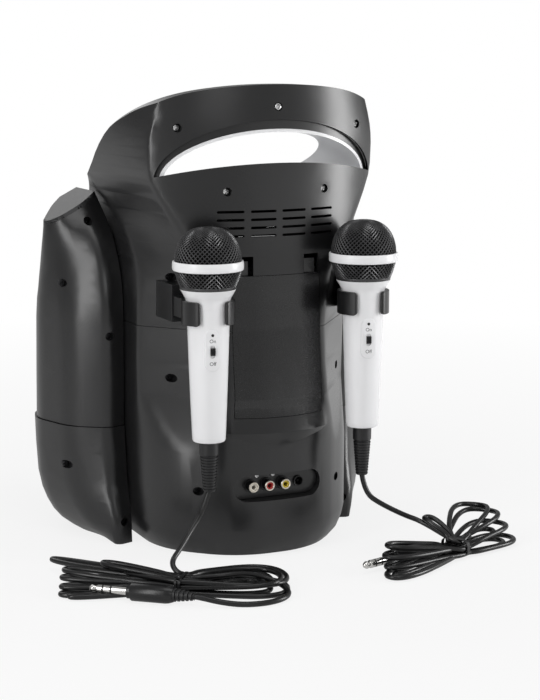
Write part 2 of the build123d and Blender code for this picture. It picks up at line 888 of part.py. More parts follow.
with BuildPart() as disc_lid:
    add(
        deck_block(
            (-lid_width / 2, lid_width / 2),
            (-lid_reach / 2, lid_reach / 2),
            (lid_low, lid_low + lid_thickness),
        )
    )
    for x_side in (-1, 1):
        room_x = sorted((x_side * (lug_inner_x - fit), x_side * (lug_outer_x + fit)))
        add(deck_bar(*room_x, hinge_reach, hinge_rise, lug_corner_radius + running), mode=Mode.SUBTRACT)
    for x_side in (-1, 1):
        near_x = x_side * (barrel_x - barrel_length / 2)
        end_x = x_side * (barrel_x + barrel_length / 2)
        pin_x = x_side * (lug_outer_x - 0.5)
        add(deck_bar(min(near_x, end_x), max(near_x, end_x), hinge_reach, hinge_rise, barrel_radius))
        add(deck_bar(min(near_x, pin_x), max(near_x, pin_x), hinge_reach, hinge_rise, pin_radius))
        add(
            deck_block(
                sorted((near_x, end_x)),
                (lid_reach / 2 - 1.0, hinge_reach),
                (hinge_rise - 1.6, hinge_rise + 1.2),
            )
        )
    add(
        deck_turned([(0, -far), (window_radius + running, -far), (window_radius + running, far), (0, far)]),
        mode=Mode.SUBTRACT,
    )
save(disc_lid.part, "disc_lid")

lid_window = deck_turned(
    [(0, lid_low + 0.4), (window_radius, lid_low + 0.4), (window_radius, lid_low + 2.4), (0, lid_low + 2.4)]
)
save(lid_window, "lid_window")

well_outer = well_radius + well_wall
slot_low_x = sled_start_x - lens_radius - 1.0
slot_high_x = sled_start_x + sled_travel + lens_radius + 1.0

with BuildPart() as disc_well:
    add(
        deck_turned(
            [
                (0, -well_depth),
                (well_outer, -well_depth),
                (well_outer, 0.05),
                (flange_radius, 0.05),
                (flange_radius, flange_thickness),
                (well_radius, flange_thickness),
                (well_radius, well_wall - well_depth),
                (0, well_wall - well_depth),
            ]
        )
    )
    for post_x in (post_inner_x, post_outer_x):
        add(
            deck_block(
                (post_x, post_x + post_width),
                (-rail_offset - 4.0, rail_offset + 4.0),
                (rail_z - 3.0, -well_depth),
            )
        )
    for y_side in (-1, 1):
        add(
            deck_bar(
                post_inner_x - 1.0,
                post_outer_x + post_width + 1.0,
                y_side * rail_offset,
                rail_z,
                rail_radius + running,
            ),
            mode=Mode.SUBTRACT,
        )
    add(
        deck_block((slot_low_x, slot_high_x), (-lens_radius - 1.5, lens_radius + 1.5), (-well_depth - 1.0, 0)),
        mode=Mode.SUBTRACT,
    )
    add(deck_turned([(0, -far), (2.5, -far), (2.5, 0), (0, 0)]), mode=Mode.SUBTRACT)
save(disc_well.part, "disc_well")

motor_top = -well_depth - 0.1
spindle_hub = deck_turned(
    [
        (0, motor_top - 9.0),
        (spindle_radius, motor_top - 9.0),
        (spindle_radius, hub_low),
        (hub_radius, hub_low),
        (hub_radius, hub_low + 2.5),
        (hub_radius * 0.6, hub_low + 3.0),
        (hub_radius * 0.55, hub_high),
        (0, hub_high),
    ]
)
save(spindle_hub, "spindle_hub")

spindle_motor = deck_turned(
    [
        (0, motor_top - motor_length),
        (motor_radius, motor_top - motor_length),
        (motor_radius, motor_top),
        (spindle_radius + running, motor_top),
        (spindle_radius + running, motor_top - 9.5),
        (0, motor_top - 9.5),
    ]
)
save(spindle_motor, "spindle_motor")

with BuildPart() as laser_sled:
    add(
        deck_block(
            (sled_start_x - sled_length / 2, sled_start_x + sled_length / 2),
            (-sled_width / 2, sled_width / 2),
            (sled_low, sled_high),
        )
    )
    add(
        deck_turned(
            [(0, sled_high - 1.0), (lens_radius, sled_high - 1.0), (lens_radius, lens_top), (0, lens_top)],
            sled_start_x,
        )
    )
    for y_side in (-1, 1):
        add(
            deck_bar(0, far / 2, y_side * rail_offset, rail_z, rail_radius + running),
            mode=Mode.SUBTRACT,
        )
save(laser_sled.part, "laser_sled")

sled_rails = group(
    [
        deck_bar(post_inner_x, post_outer_x + post_width, y_side * rail_offset, rail_z, rail_radius)
        for y_side in (-1, 1)
    ]
)
save(sled_rails, "sled_rails")

# ---------------------------------------------------------------- socket panel
av_places = [av_first_x - av_pitch * i for i in range(4)]
dc_x = av_places[3]
av_back_y = av_face_y - av_thickness
av_screw_places = [(15.6, av_z + 7.4), (1.3, av_z + 7.4)]
av_screw_radius = 1.8

with BuildPart() as av_plate:
    add(av_slot(-fit, av_back_y, av_face_y))
    for x in av_places:
        add(rod(x, av_z, 0, far, rca_radius + 0.1), mode=Mode.SUBTRACT)
    for x, z in av_screw_places:
        add(rod(x, z, 0, far, screw_radius * 0.6), mode=Mode.SUBTRACT)
save(av_plate.part, "av_plate")

rca_set = []
for x in av_places[:3]:
    rca_set.append(
        turned_y(
            [
                (0, av_back_y - 4.0),
                (rca_radius, av_back_y - 4.0),
                (rca_radius, av_face_y + 0.05),
                (rca_radius + 1.3, av_face_y + 0.05),
                (rca_radius + 1.3, av_face_y + 1.2),
                (rca_radius, av_face_y + 1.2),
                (rca_radius, av_face_y + rca_length),
                (rca_radius * 0.42, av_face_y + rca_length),
                (rca_radius * 0.42, av_face_y),
                (0, av_face_y),
            ],
            x,
            av_z,
        )
    )
save(group(rca_set), "rca_jacks")

dc_jack = turned_y(
    [
        (0, av_back_y - 4.0),
        (rca_radius, av_back_y - 4.0),
        (rca_radius, av_face_y + 2.0),
        (rca_radius * 0.75, av_face_y + 2.0),
        (rca_radius * 0.75, av_back_y - 2.5),
        (rca_radius * 0.25, av_back_y - 2.5),
        (rca_radius * 0.25, av_face_y + 0.5),
        (0, av_face_y + 0.5),
    ],
    dc_x,
    av_z,
)
save(dc_jack, "dc_jack")

board_thickness = 1.6
jack_board = block(
    (-av_half + 8.0, av_half - 8.0),
    (av_back_y - 4.1 - board_thickness, av_back_y - 4.1),
    (av_z - 16.0, av_z + 16.0),
)
main_board = block(
    (-bay_half, bay_half),
    (bay_front_y - 0.1 - board_thickness, bay_front_y - 0.1),
    (bay_low + 5.0, bay_high - 5.0),
)
save(group([jack_board, main_board]), "circuit_boards")

# ---------------------------------------------------------------- pods
cap_edge = [
    (cap_plane_x - far / 4, cap_plane_z + cap_slope * far / 4),
    (cap_plane_x + far / 4, cap_plane_z - cap_slope * far / 4),
]


def cap_layer(low, high):
    """The space between two planes parallel to the pod's slanted top."""
    with BuildPart() as made:
        with BuildSketch(Plane.XZ):
            with BuildLine():
                Polyline(
                    (cap_edge[0][0], cap_edge[0][1] + low),
                    (cap_edge[1][0], cap_edge[1][1] + low),
                    (cap_edge[1][0], cap_edge[1][1] + high),
                    (cap_edge[0][0], cap_edge[0][1] + high),
                    close=True,
                )
            make_face()
        extrude(amount=far, both=True)
    return made.part


pod_outer = pod_form(pod_stations, 0.0)
pod_inner = pod_form(pod_stations, wall)
boot_outer = pod_form(boot_stations, 0.0)
boot_inner = pod_form(boot_stations, wall)
pod_lens_cut = rod(pod_lens_x, pod_lens_z, -far, nose_corner_y + 10.0, pod_lens_radius + 0.1)
pod_speaker_cut = rod(pod_lens_x, pod_speaker_z, -far, nose_corner_y + 10.0, pod_speaker_radius + 0.1)

with BuildPart() as pod_shell:
    add(pod_outer)
    add(pod_inner, mode=Mode.SUBTRACT)
    add(cap_layer(-far, -cap_thickness), mode=Mode.INTERSECT)
    with BuildPart(mode=Mode.PRIVATE) as boss_set:
        add(bosses(pod_dark))
        add(pod_form(pod_stations, wall / 2), mode=Mode.INTERSECT)
        add(cap_layer(-far, -cap_thickness), mode=Mode.INTERSECT)
    add(boss_set.part)
    add(pockets(pod_dark), mode=Mode.SUBTRACT)
    add(pod_lens_cut, mode=Mode.SUBTRACT)
    add(pod_speaker_cut, mode=Mode.SUBTRACT)

with BuildPart() as pod_boot:
    add(boot_outer)
    with BuildPart(mode=Mode.PRIVATE) as boot_room:
        add(boot_inner)
        add(block((0, far), (-far, far), (rim_height + wall, far)), mode=Mode.INTERSECT)
    add(boot_room.part, mode=Mode.SUBTRACT)
    with BuildPart(mode=Mode.PRIVATE) as boss_set:
        add(bosses(boot_dark))
        add(pod_form(boot_stations, wall / 2), mode=Mode.INTERSECT)
    add(boss_set.part)
    add(pockets(boot_dark), mode=Mode.SUBTRACT)

with BuildPart() as pod_cap:
    add(pod_outer)
    add(cap_layer(0.05 - cap_thickness, 0.0), mode=Mode.INTERSECT)

left_pod_shell = pod_shell.part
right_pod_shell = mirror(pod_shell.part, about=Plane.YZ)
left_pod_boot = pod_boot.part
right_pod_boot = mirror(pod_boot.part, about=Plane.YZ)
save(left_pod_shell, "left_pod_shell")
save(right_pod_shell, "right_pod_shell")
save(left_pod_boot, "left_pod_boot")
save(right_pod_boot, "right_pod_boot")
save(group(both_sides(pod_cap.part)), "pod_caps")

pod_front_y = pod_stations[0].front_y
pod_lens = turned_y(
    [
        (0, pod_front_y + 5.0),
        (pod_lens_radius, pod_front_y + 5.0),
        (pod_lens_radius, pod_front_y - 1.0),
        (pod_lens_radius * 0.8, pod_front_y - 3.0),
        (pod_lens_radius * 0.45, pod_front_y - 4.4),
        (0, pod_front_y - 5.0),
    ],
    pod_lens_x,
    pod_lens_z,
)
save(group(both_sides(pod_lens)), "pod_lenses")

pod_speaker = turned_y(
    [
        (0, pod_front_y + 9.0),
        (pod_speaker_radius * 0.6, pod_front_y + 9.0),
        (pod_speaker_radius, pod_front_y + 5.0),
        (pod_speaker_radius, pod_front_y - 1.5),
        (pod_speaker_radius - 2.0, pod_front_y - 1.5),
        (pod_speaker_radius - 2.0, pod_front_y + 1.0),
        (0, pod_front_y + 4.0),
    ],
    pod_lens_x,
    pod_speaker_z,
)
save(group(both_sides(pod_speaker)), "pod_speakers")

# ---------------------------------------------------------------- screws
dark = upper_dark + lower_dark
for x, y, z, depth in pod_dark + boot_dark:
    dark.append((x, y, z, depth))
    dark.append((-x, y, z, depth))
save(group(screws(dark)), "cover_screws")

av_screws = []
for x, z in av_screw_places:
    av_screws.append(
        turned_y(
            [
                (0, av_back_y - 2.0),
                (screw_radius * 0.6 - running, av_back_y - 2.0),
                (screw_radius * 0.6 - running, av_face_y + 0.05),
                (av_screw_radius, av_face_y + 0.05),
                (av_screw_radius, av_face_y + 0.9),
                (0, av_face_y + 1.3),
            ],
            x,
            z,
        )
    )
save(group(screws(upper_silver) + av_screws), "silver_screws")

# ---------------------------------------------------------------- front controls
with BuildPart() as nose_behind:
    with BuildSketch(Plane.XY.offset(speaker_z - speaker_radius * 2)):
        with BuildLine():
            ThreePointArc(
                (-nose_corner_x, nose_corner_y - 0.1),
                (0, nose_y - 0.1),
                (nose_corner_x, nose_corner_y - 0.1),
            )
            Polyline((nose_corner_x, nose_corner_y - 0.1), (0, 0), (-nose_corner_x, nose_corner_y - 0.1))
        make_face()
    extrude(amount=far)

ring_bore = speaker_bore + 1.5
with BuildPart() as speaker_ring:
    add(
        turned_y(
            [
                (ring_bore, nose_corner_y),
                (speaker_radius, nose_corner_y),
                (speaker_radius, nose_y - 5.0),
                (speaker_radius - 3.0, speaker_front_y + 1.5),
                (speaker_radius - 6.0, speaker_front_y),
                (ring_bore + 2.0, speaker_front_y + 1.0),
                (ring_bore, speaker_front_y + 4.0),
            ],
            0,
            speaker_z,
        )
    )
    add(nose_behind.part, mode=Mode.SUBTRACT)
save(speaker_ring.part, "speaker_ring")

grille_y = nose_y - 5.0
grille_hole = 2.2
grille_pitch = 9.5
with BuildPart() as speaker_grille:
    with BuildSketch(Plane.XZ.offset(-grille_y)):
        with Locations((0, speaker_z)):
            Circle(ring_bore - running)
            Circle(grille_hole, mode=Mode.SUBTRACT)
            for ring in range(1, 5):
                with PolarLocations(ring * grille_pitch, 6 * ring):
                    Circle(grille_hole, mode=Mode.SUBTRACT)
    extrude(amount=1.6)
save(speaker_grille.part, "speaker_grille")

driver_flange = speaker_bore + 4.0
driver_y = nose_corner_y - 2.1
speaker_driver = turned_y(
    [
        (0, driver_y + 42.0),
        (28.0, driver_y + 42.0),
        (28.0, driver_y + 26.0),
        (20.0, driver_y + 24.0),
        (driver_flange - 6.0, driver_y + 3.0),
        (driver_flange, driver_y + 3.0),
        (driver_flange, driver_y),
        (speaker_bore - 2.0, driver_y),
        (14.0, driver_y + 16.0),
        (0, driver_y + 11.0),
    ],
    0,
    speaker_z,
)
save(speaker_driver, "speaker_driver")

with BuildPart() as control_panel:
    add(block((-panel_half, panel_half), (panel_front_y, nose_corner_y), (panel_low, panel_high)))
    add(nose_behind.part, mode=Mode.SUBTRACT)
    add(
        block((-display_half - 0.1, display_half + 0.1), (-far, 0), (display_low - 0.1, display_high + 0.1)),
        mode=Mode.SUBTRACT,
    )
    for cutter in front_cutters:
        add(cutter, mode=Mode.SUBTRACT)
save(control_panel.part, "control_panel")

with BuildPart() as display_window:
    add(block((-display_half, display_half), (panel_front_y + 0.4, nose_corner_y), (display_low, display_high)))
    add(nose_behind.part, mode=Mode.SUBTRACT)
save(display_window.part, "display_window")

button_flange = 1.5
for index, x in enumerate(button_places):
    flange_y = nose_y + (x * x) / (2 * (nose_corner_x**2) / (2 * (nose_corner_y - nose_y))) + wall + 1.2
    button = block(
        (x - button_width / 2, x + button_width / 2),
        (panel_front_y - button_proud, flange_y + button_flange),
        (button_z - button_height / 2, button_z + button_height / 2),
    )
    flange = block(
        (x - button_width / 2 - 1.5, x + button_width / 2 + 1.5),
        (flange_y, flange_y + button_flange),
        (button_z - button_height / 2 - 1.5, button_z + button_height / 2 + 1.5),
    )
    with BuildPart() as push_button:
        add(button)
        add(flange)
    save(push_button.part, "button_" + str(index + 1))

for name, x in (("left_knob", knob_x), ("right_knob", -knob_x)):
    collar_y = nose_corner_y + 0.2
    knob = turned_y(
        [
            (0, panel_front_y - fit - knob_length),
            (knob_radius - 1.0, panel_front_y - fit - knob_length),
            (knob_radius, panel_front_y - fit - knob_length + 1.0),
            (knob_radius, panel_front_y - fit),
            (knob_shaft_radius, panel_front_y - fit),
            (knob_shaft_radius, collar_y),
            (knob_shaft_radius + 2.0, collar_y),
            (knob_shaft_radius + 2.0, collar_y + 1.5),
            (0, collar_y + 1.5),
        ],
        x,
        knob_z,
    )
    save(knob, name)

mic_sockets = []
for x in (-mic_socket_x, mic_socket_x):
    mic_sockets.append(
        turned_y(
            [
                (0, nose_corner_y + 12.0),
                (mic_socket_bore + 1.8, nose_corner_y + 12.0),
                (mic_socket_bore + 1.8, nose_y - 0.2),
                (mic_socket_bore + 3.2, nose_y - 0.2),
                (mic_socket_bore + 3.2, nose_y - 1.8),
                (mic_socket_bore, nose_y - 1.8),
                (mic_socket_bore, nose_corner_y + 10.0),
                (0, nose_corner_y + 10.0),
            ],
            x,
            mic_socket_z,
        )
    )
save(group(mic_sockets), "mic_sockets")

# ---------------------------------------------------------------- mics
mic_outline = [
    (tail, height)
    for tail, height in [
        (12.3, mic_bottom),
        (12.9, mic_bottom + 1.5),
        (14.5, 143.0),
        (16.4, 200.0),
        (16.8, 208.0),
        (17.3, 213.7),
        (19.0, 217.2),
        (21.4, mic_top),
    ]
]
mic_room = [
    (outline_radius - mic_wall, height + (mic_wall if height < mic_bottom + 2 else 0))
    for outline_radius, height in mic_outline[1:]
]


def plate_slot(grow, y_low, y_high):
    """The switch plate's upright rounded slot beside the mic's axis."""
    with BuildPart() as made:
        with BuildSketch(Plane.XZ.offset(-mic_y - y_high)):
            with Locations((mic_x, plate_z)):
                SlotOverall(plate_height + 2 * grow, plate_width + 2 * grow, rotation=90)
        extrude(amount=y_high - y_low)
    return made.part


foot_width = switch_width + 2.6
foot_height_z = switch_height + 2.8
foot_thickness = 0.7
slot_side = switch_width / 2 + fit
slot_half = switch_height / 2 + switch_travel + fit
recess_half = foot_height_z / 2 + switch_travel + fit
switch_z = plate_z - 1.0

with BuildPart() as mic_body:
    add(turned([(0, mic_bottom)] + mic_outline + [(0, mic_top)], mic_x, mic_y))
    add(turned([(0, mic_room[0][1])] + mic_room + [(0, mic_top)], mic_x, mic_y), mode=Mode.SUBTRACT)
    add(plate_slot(0.1, plate_back - 0.1, plate_front * 2), mode=Mode.SUBTRACT)

with BuildPart() as mic_plate:
    add(plate_slot(0.0, plate_back, plate_front))
    add(
        block(
            (mic_x - slot_side, mic_x + slot_side),
            (mic_y, far),
            (switch_z - slot_half, switch_z + slot_half),
        ),
        mode=Mode.SUBTRACT,
    )
    add(
        block(
            (mic_x - foot_width / 2 - fit, mic_x + foot_width / 2 + fit),
            (mic_y, mic_y + plate_back + foot_thickness + 2 * fit),
            (switch_z - recess_half, switch_z + recess_half),
        ),
        mode=Mode.SUBTRACT,
    )

with BuildPart() as mic_switch:
    add(
        block(
            (mic_x - switch_width / 2, mic_x + switch_width / 2),
            (mic_y + plate_back + fit, mic_y + plate_front + 1.6),
            (switch_z - switch_height / 2, switch_z + switch_height / 2),
        )
    )
    add(
        block(
            (mic_x - foot_width / 2, mic_x + foot_width / 2),
            (mic_y + plate_back + fit, mic_y + plate_back + fit + foot_thickness),
            (switch_z - foot_height_z / 2, switch_z + foot_height_z / 2),
        )
    )

ball_outline = [
    (20.9, mic_top + 0.1),
    (23.6, 228.5),
    (ball_radius, band_low),
    (ball_radius, band_high + 1.0),
    (25.2, 249.0),
    (23.0, 256.0),
    (18.6, 262.4),
    (12.0, 266.7),
    (5.0, ball_top - 0.3),
]
ball_room = [
    (20.9 - grille_wall, mic_top + 0.1 + grille_wall),
    (23.6 - grille_wall, 228.9),
    (ball_radius - grille_wall, band_low),
    (ball_radius - grille_wall, band_high + 1.0),
    (25.2 - grille_wall, 248.6),
    (23.0 - grille_wall, 255.2),
    (18.6 - grille_wall, 261.2),
    (12.0 - grille_wall, 265.3),
    (5.0, ball_top - 0.3 - grille_wall),
]
with BuildPart() as mic_grille:
    add(turned([(0, mic_top + 0.1)] + ball_outline + [(0, ball_top)], mic_x, mic_y))
    add(
        turned(
            [(0, ball_room[0][1])] + ball_room + [(0, ball_top - grille_wall)],
            mic_x,
            mic_y,
        ),
        mode=Mode.SUBTRACT,
    )

mic_band = turned(
    [
        (ball_radius + running, band_low),
        (band_radius - 0.5, band_low),
        (band_radius, band_low + 1.0),
        (band_radius, band_high - 1.0),
        (band_radius - 0.5, band_high),
        (ball_radius + running, band_high),
    ],
    mic_x,
    mic_y,
)

relief_profile = [(0, mic_bottom - relief_length), (relief_end_radius, mic_bottom - relief_length)]
ribs = int(relief_length / relief_rib_pitch) - 1
for i in range(ribs):
    rib_z = mic_bottom - relief_length + (i + 0.6) * relief_rib_pitch
    growth = (relief_top_radius - relief_end_radius) * (i + 0.6) / ribs
    rib_radius = relief_end_radius + growth
    relief_profile += [
        (rib_radius, rib_z),
        (rib_radius, rib_z + relief_rib_pitch * 0.6),
        (rib_radius - 0.8, rib_z + relief_rib_pitch * 0.65),
        (rib_radius - 0.8, rib_z + relief_rib_pitch * 0.95),
    ]
relief_profile += [(relief_top_radius, mic_bottom - 3.0), (relief_top_radius, mic_bottom), (0, mic_bottom)]
mic_relief = turned(relief_profile, mic_x, mic_y)


def turned_mics(piece):
    """A microphone piece and its twin, each turned about its own upright axis."""
    return [
        made.rotate(Axis((x, mic_y, 0), (0, 0, 1)), -mic_turn)
        for x, made in zip((mic_x, -mic_x), both_sides(piece))
    ]


for name, piece in (("mic_body", mic_body.part), ("mic_grille", mic_grille.part), ("mic_switch", mic_switch.part)):
    for side, made in zip(("left", "right"), turned_mics(piece)):
        save(made.solid(), side + "_" + name)
save(group(both_sides(mic_band)), "mic_bands")
save(group(turned_mics(mic_plate.part)), "mic_switch_plates")
save(group(both_sides(mic_relief)), "mic_reliefs")

# ---------------------------------------------------------------- mic clips
ring_middle = (clip_bore + clip_radius) / 2
arm_tip = (clip_radius - clip_bore) / 2


def corner_waste(angle, onward, height, upward):
    """The waste that rounds off one corner of an arm's end."""
    out = Vector(math.cos(angle), math.sin(angle), 0)
    along = Vector(-math.sin(angle), math.cos(angle), 0) * onward
    middle = (
        Vector(mic_x, mic_y, height - upward * clip_corner)
        + out * (clip_bore - 3.0)
        + along * (arm_tip - clip_corner)
    )
    side = (clip_corner + 1.0) / 2
    with BuildPart() as made:
        with BuildSketch(Plane(origin=middle, x_dir=along, z_dir=out)):
            with Locations((side, side * onward * upward)):
                Rectangle(2 * side, 2 * side)
            Circle(clip_corner, mode=Mode.SUBTRACT)
        extrude(amount=clip_radius - clip_bore + 8.0)
    return made.part


def mic_clip(turn):
    """The clip of the +X microphone with its mouth turned towards +X."""
    mouth_axis = 90.0 - turn
    with BuildPart() as clip:
        with BuildSketch(Plane.XY.offset(clip_low)):
            with Locations((mic_x, mic_y)):
                Circle(clip_radius)
                Circle(clip_bore, mode=Mode.SUBTRACT)
            with BuildLine():
                reach = clip_radius * 3
                left_angle = math.radians(mouth_axis + clip_mouth)
                right_angle = math.radians(mouth_axis - clip_mouth)
                Polyline(
                    (mic_x, mic_y),
                    (mic_x + reach * math.cos(right_angle), mic_y + reach * math.sin(right_angle)),
                    (mic_x + reach * math.cos(left_angle), mic_y + reach * math.sin(left_angle)),
                    close=True,
                )
            make_face(mode=Mode.SUBTRACT)
            for angle in (left_angle, right_angle):
                with Locations(
                    (mic_x + ring_middle * math.cos(angle), mic_y + ring_middle * math.sin(angle))
                ):
                    Circle(arm_tip)
        extrude(amount=clip_high - clip_low)
        for angle, onward in ((left_angle, -1), (right_angle, 1)):
            for height, upward in ((clip_high, 1), (clip_low, -1)):
                add(corner_waste(angle, onward, height, upward), mode=Mode.SUBTRACT)
        neck_y = mic_y - math.sqrt(clip_radius**2 - (stalk_x - mic_x) ** 2)
        add(
            block(
                (stalk_x - 4.0, stalk_x + 4.0),
                (stalk_end_y - 4.0, neck_y + 1.0),
                (clip_low + 2.0, clip_high - 1.0),
            )
        )
        add(
            block(
                (stalk_x - stalk_width / 2, stalk_x + stalk_width / 2),
                (10.0, stalk_end_y),
                (stalk_low, stalk_high),
            )
        )
        add(outer, mode=Mode.SUBTRACT)
    return max(clip.part.solids(), key=lambda piece: piece.volume)


save(group([mic_clip(clip_turn), mirror(mic_clip(-clip_turn), about=Plane.YZ)]), "mic_clips")

# ---------------------------------------------------------------- cords, hanks, ties and plugs
bend_share = 0.45          # part of the shorter run that each arc takes up
plug_pin_radius = 3.17
plug_pin_length = 30.0
plug_barrel_radius = 7.0
plug_barrel_length = 36.0
plug_relief_length = 16.0
tie_wall = 1.0
tie_length = 5.0
tie_low = 1.6              # the hank is lifted off the floor where the tie goes round it

# route of each lead from inside its strain relief to inside its hank
left_route = [
    (mic_x, mic_y, mic_bottom - relief_length + 0.8),
    (72.5, 102.0, 49.5),
    (86.0, 109.0, 36.5),
    (99.0, 120.0, 27.0),
    (111.0, 129.0, 19.5),
    (123.0, 131.5, 16.5),
]
right_route = [
    (-mic_x, mic_y, mic_bottom - relief_length + 0.8),
    (-68.5, 102.0, 48.3),
    (-80.0, 108.0, 39.5),
    (-100.0, 111.5, 28.6),
    (-124.0, 112.0, 19.5),
    (-139.0, 124.0, 15.0),
]

HankSection = namedtuple("HankSection", "x y width height low")
left_hank_sections = [
    HankSection(182.0, 60.0, 20.0, 9.0, 0.3),
    HankSection(181.0, 79.0, 34.0, 13.0, 0.3),
    HankSection(168.0, 99.0, 38.0, 16.0, 0.3),
    HankSection(150.0, 114.0, 38.0, 18.0, 0.3),
    HankSection(128.0, 133.0, 30.0, 19.0, 0.3),
    HankSection(110.0, 148.0, 24.0, 16.5, tie_low),
    HankSection(94.0, 160.0, 56.0, 18.0, 0.3),
    HankSection(74.0, 170.0, 58.0, 16.0, 0.3),
    HankSection(46.0, 170.0, 50.0, 12.0, 0.3),
    HankSection(28.0, 168.0, 30.0, 8.0, 0.3),
]
right_hank_sections = [
    HankSection(-50.0, 184.0, 24.0, 9.0, 0.3),
    HankSection(-66.0, 180.0, 34.0, 14.0, 0.3),
    HankSection(-88.0, 173.0, 38.0, 17.0, 0.3),
    HankSection(-110.0, 160.0, 32.0, 18.0, 0.3),
    HankSection(-127.0, 147.0, 26.0, 18.0, tie_low),
    HankSection(-143.0, 139.0, 34.0, 24.0, 0.3),
    HankSection(-164.0, 131.0, 46.0, 30.0, 0.3),
    HankSection(-183.0, 123.0, 40.0, 24.0, 0.3),
    HankSection(-195.0, 118.0, 22.0, 12.0, 0.3),
]


def bend_radii(route):
    """Radius of the arc at each inner point of a route."""
    radii = []
    for before, corner, after in zip(route, route[1:], route[2:]):
        run_in = Vector(*corner) - Vector(*before)
        run_out = Vector(*after) - Vector(*corner)
        half_turn = math.radians(run_in.get_angle(run_out)) / 2
        radii.append(bend_share * min(run_in.length, run_out.length) / math.tan(half_turn))
    return radii


def lead(route):
    """A round cord along straight runs joined by tangent arcs."""
    with BuildPart() as made:
        with BuildLine() as path:
            FilletPolyline(*route, radius=bend_radii(route))
        with BuildSketch(Plane(origin=route[0], z_dir=path.line % 0)):
            Circle(cord_diameter / 2)
        sweep()
    section = math.pi * cord_diameter**2 / 4
    length = sum(edge.length for edge in path.edges())
    print("bend radii", [round(r, 1) for r in bend_radii(route)])
    print("cord length", round(length, 1))
    print("cord volume", round(made.part.volume), "section x length", round(section * length))
    return made.part


def section_plane(sections, index):
    """Upright plane across the hank at one section, facing along its run."""
    before = sections[max(index - 1, 0)]
    after = sections[min(index + 1, len(sections) - 1)]
    here = sections[index]
    run = (after.x - before.x, after.y - before.y, 0)
    return Plane(
        origin=(here.x, here.y, here.low + here.height / 2),
        x_dir=(run[1], -run[0], 0),
        z_dir=run,
    )


def hank(sections):
    """The outer shape of a folded and tied bundle of cord."""
    with BuildPart() as made:
        for index, here in enumerate(sections):
            with BuildSketch(section_plane(sections, index)):
                RectangleRounded(here.width, here.height, here.height * 0.42)
        loft(ruled=True)
    return made.part


def twist_tie(sections, index):
    """A flat tie round the hank."""
    here = sections[index]
    plane = section_plane(sections, index)
    with BuildPart() as made:
        with BuildSketch(plane):
            RectangleRounded(
                here.width + 2 * tie_wall, here.height + 2 * tie_wall, here.height * 0.42 + tie_wall
            )
            RectangleRounded(here.width, here.height, here.height * 0.42, mode=Mode.SUBTRACT)
        extrude(amount=tie_length / 2, both=True)
    return made.part


def jack_plug(tip_x, tip_y, run_x, run_y):
    """A stereo jack plug lying on the floor, tip first, with its own strain relief."""
    barrel_end = plug_pin_length + plug_barrel_length
    profile = [
        (0, 0),
        (1.2, 0.2),
        (2.9, 2.6),
        (2.9, 4.0),
        (2.2, 5.6),
        (plug_pin_radius, 7.0),
        (plug_pin_radius, plug_pin_length),
        (plug_barrel_radius - 1.5, plug_pin_length),
        (plug_barrel_radius, plug_pin_length + 2.0),
        (plug_barrel_radius, barrel_end - 4.0),
        (plug_barrel_radius - 2.0, barrel_end),
        (cord_diameter / 2 + 0.8, barrel_end + plug_relief_length),
        (0, barrel_end + plug_relief_length),
    ]
    lying = Plane(origin=(tip_x, tip_y, plug_barrel_radius + running), z_dir=(run_x, run_y, 0))
    return lying * turned(profile, 0, 0)


save(lead(left_route), "left_cord")
save(lead(right_route), "right_cord")
save(hank(left_hank_sections), "left_hank")
save(hank(right_hank_sections), "right_hank")
save(twist_tie(left_hank_sections, 5), "left_tie")
save(twist_tie(right_hank_sections, 4), "right_tie")
save(jack_plug(174.5, 125.3, -0.763, 0.646), "left_plug")
save(jack_plug(-37.0, 160.0, -0.962, -0.272), "right_plug")
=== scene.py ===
"""Looks of a portable karaoke machine, built on its packed mechanical frame."""
import logging
import math
import random
from dataclasses import dataclass
from enum import Enum
from typing import Callable, Dict, List, Optional, Sequence, Tuple, Union

import bmesh
import bpy
from mathutils import Matrix, Vector
from mathutils.kdtree import KDTree


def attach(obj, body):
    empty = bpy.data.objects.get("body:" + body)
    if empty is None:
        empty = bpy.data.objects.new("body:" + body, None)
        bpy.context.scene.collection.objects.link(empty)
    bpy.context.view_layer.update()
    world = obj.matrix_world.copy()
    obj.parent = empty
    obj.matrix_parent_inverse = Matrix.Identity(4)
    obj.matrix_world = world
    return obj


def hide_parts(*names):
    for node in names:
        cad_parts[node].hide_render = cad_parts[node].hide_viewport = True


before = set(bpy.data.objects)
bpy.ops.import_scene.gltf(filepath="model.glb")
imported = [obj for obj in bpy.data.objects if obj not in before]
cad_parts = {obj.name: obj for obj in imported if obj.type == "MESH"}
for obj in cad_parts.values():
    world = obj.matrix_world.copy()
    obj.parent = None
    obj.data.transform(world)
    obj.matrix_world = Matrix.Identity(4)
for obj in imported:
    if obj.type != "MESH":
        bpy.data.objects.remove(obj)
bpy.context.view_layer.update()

MM = 0.001
LOG = logging.getLogger("karaoke")

Point = Tuple[float, float, float]
Colour = Tuple[float, float, float]
Profile = Sequence[Tuple[float, float]]
Faces = List[Tuple[int, ...]]
Noise = Tuple[float, float, float]
Value = Union[float, "Ex"]
Key = Union[int, str]
UPRIGHT = (0.0, 0.0, 1.0)
REARWARD = (0.0, 1.0, 0.0)
PURE_WHITE = (1.0, 1.0, 1.0)

# Points nearer than these, in metres, are merged: on CAD and turned meshes, and on the finer ones.
WELD = 2e-6
FINE_WELD = 1e-6

# Facets that turn less than the first angle are one flat face, and edges past the second are rounded.
FLAT_ANGLE = math.radians(0.1)
EDGE_ANGLE = math.radians(35.0)


class Side(Enum):
    """The two sides of the machine, as the sign of X."""

    LEFT = 1
    RIGHT = -1

    @property
    def label(self) -> str:
        """How node names call it."""
        return self.name.lower()


class Smoothness(Enum):
    """How far neighbouring facets may turn and still shade as one surface, in degrees."""

    CRISP = 24.0
    SOFT = 34.0
    ROUND = 50.0


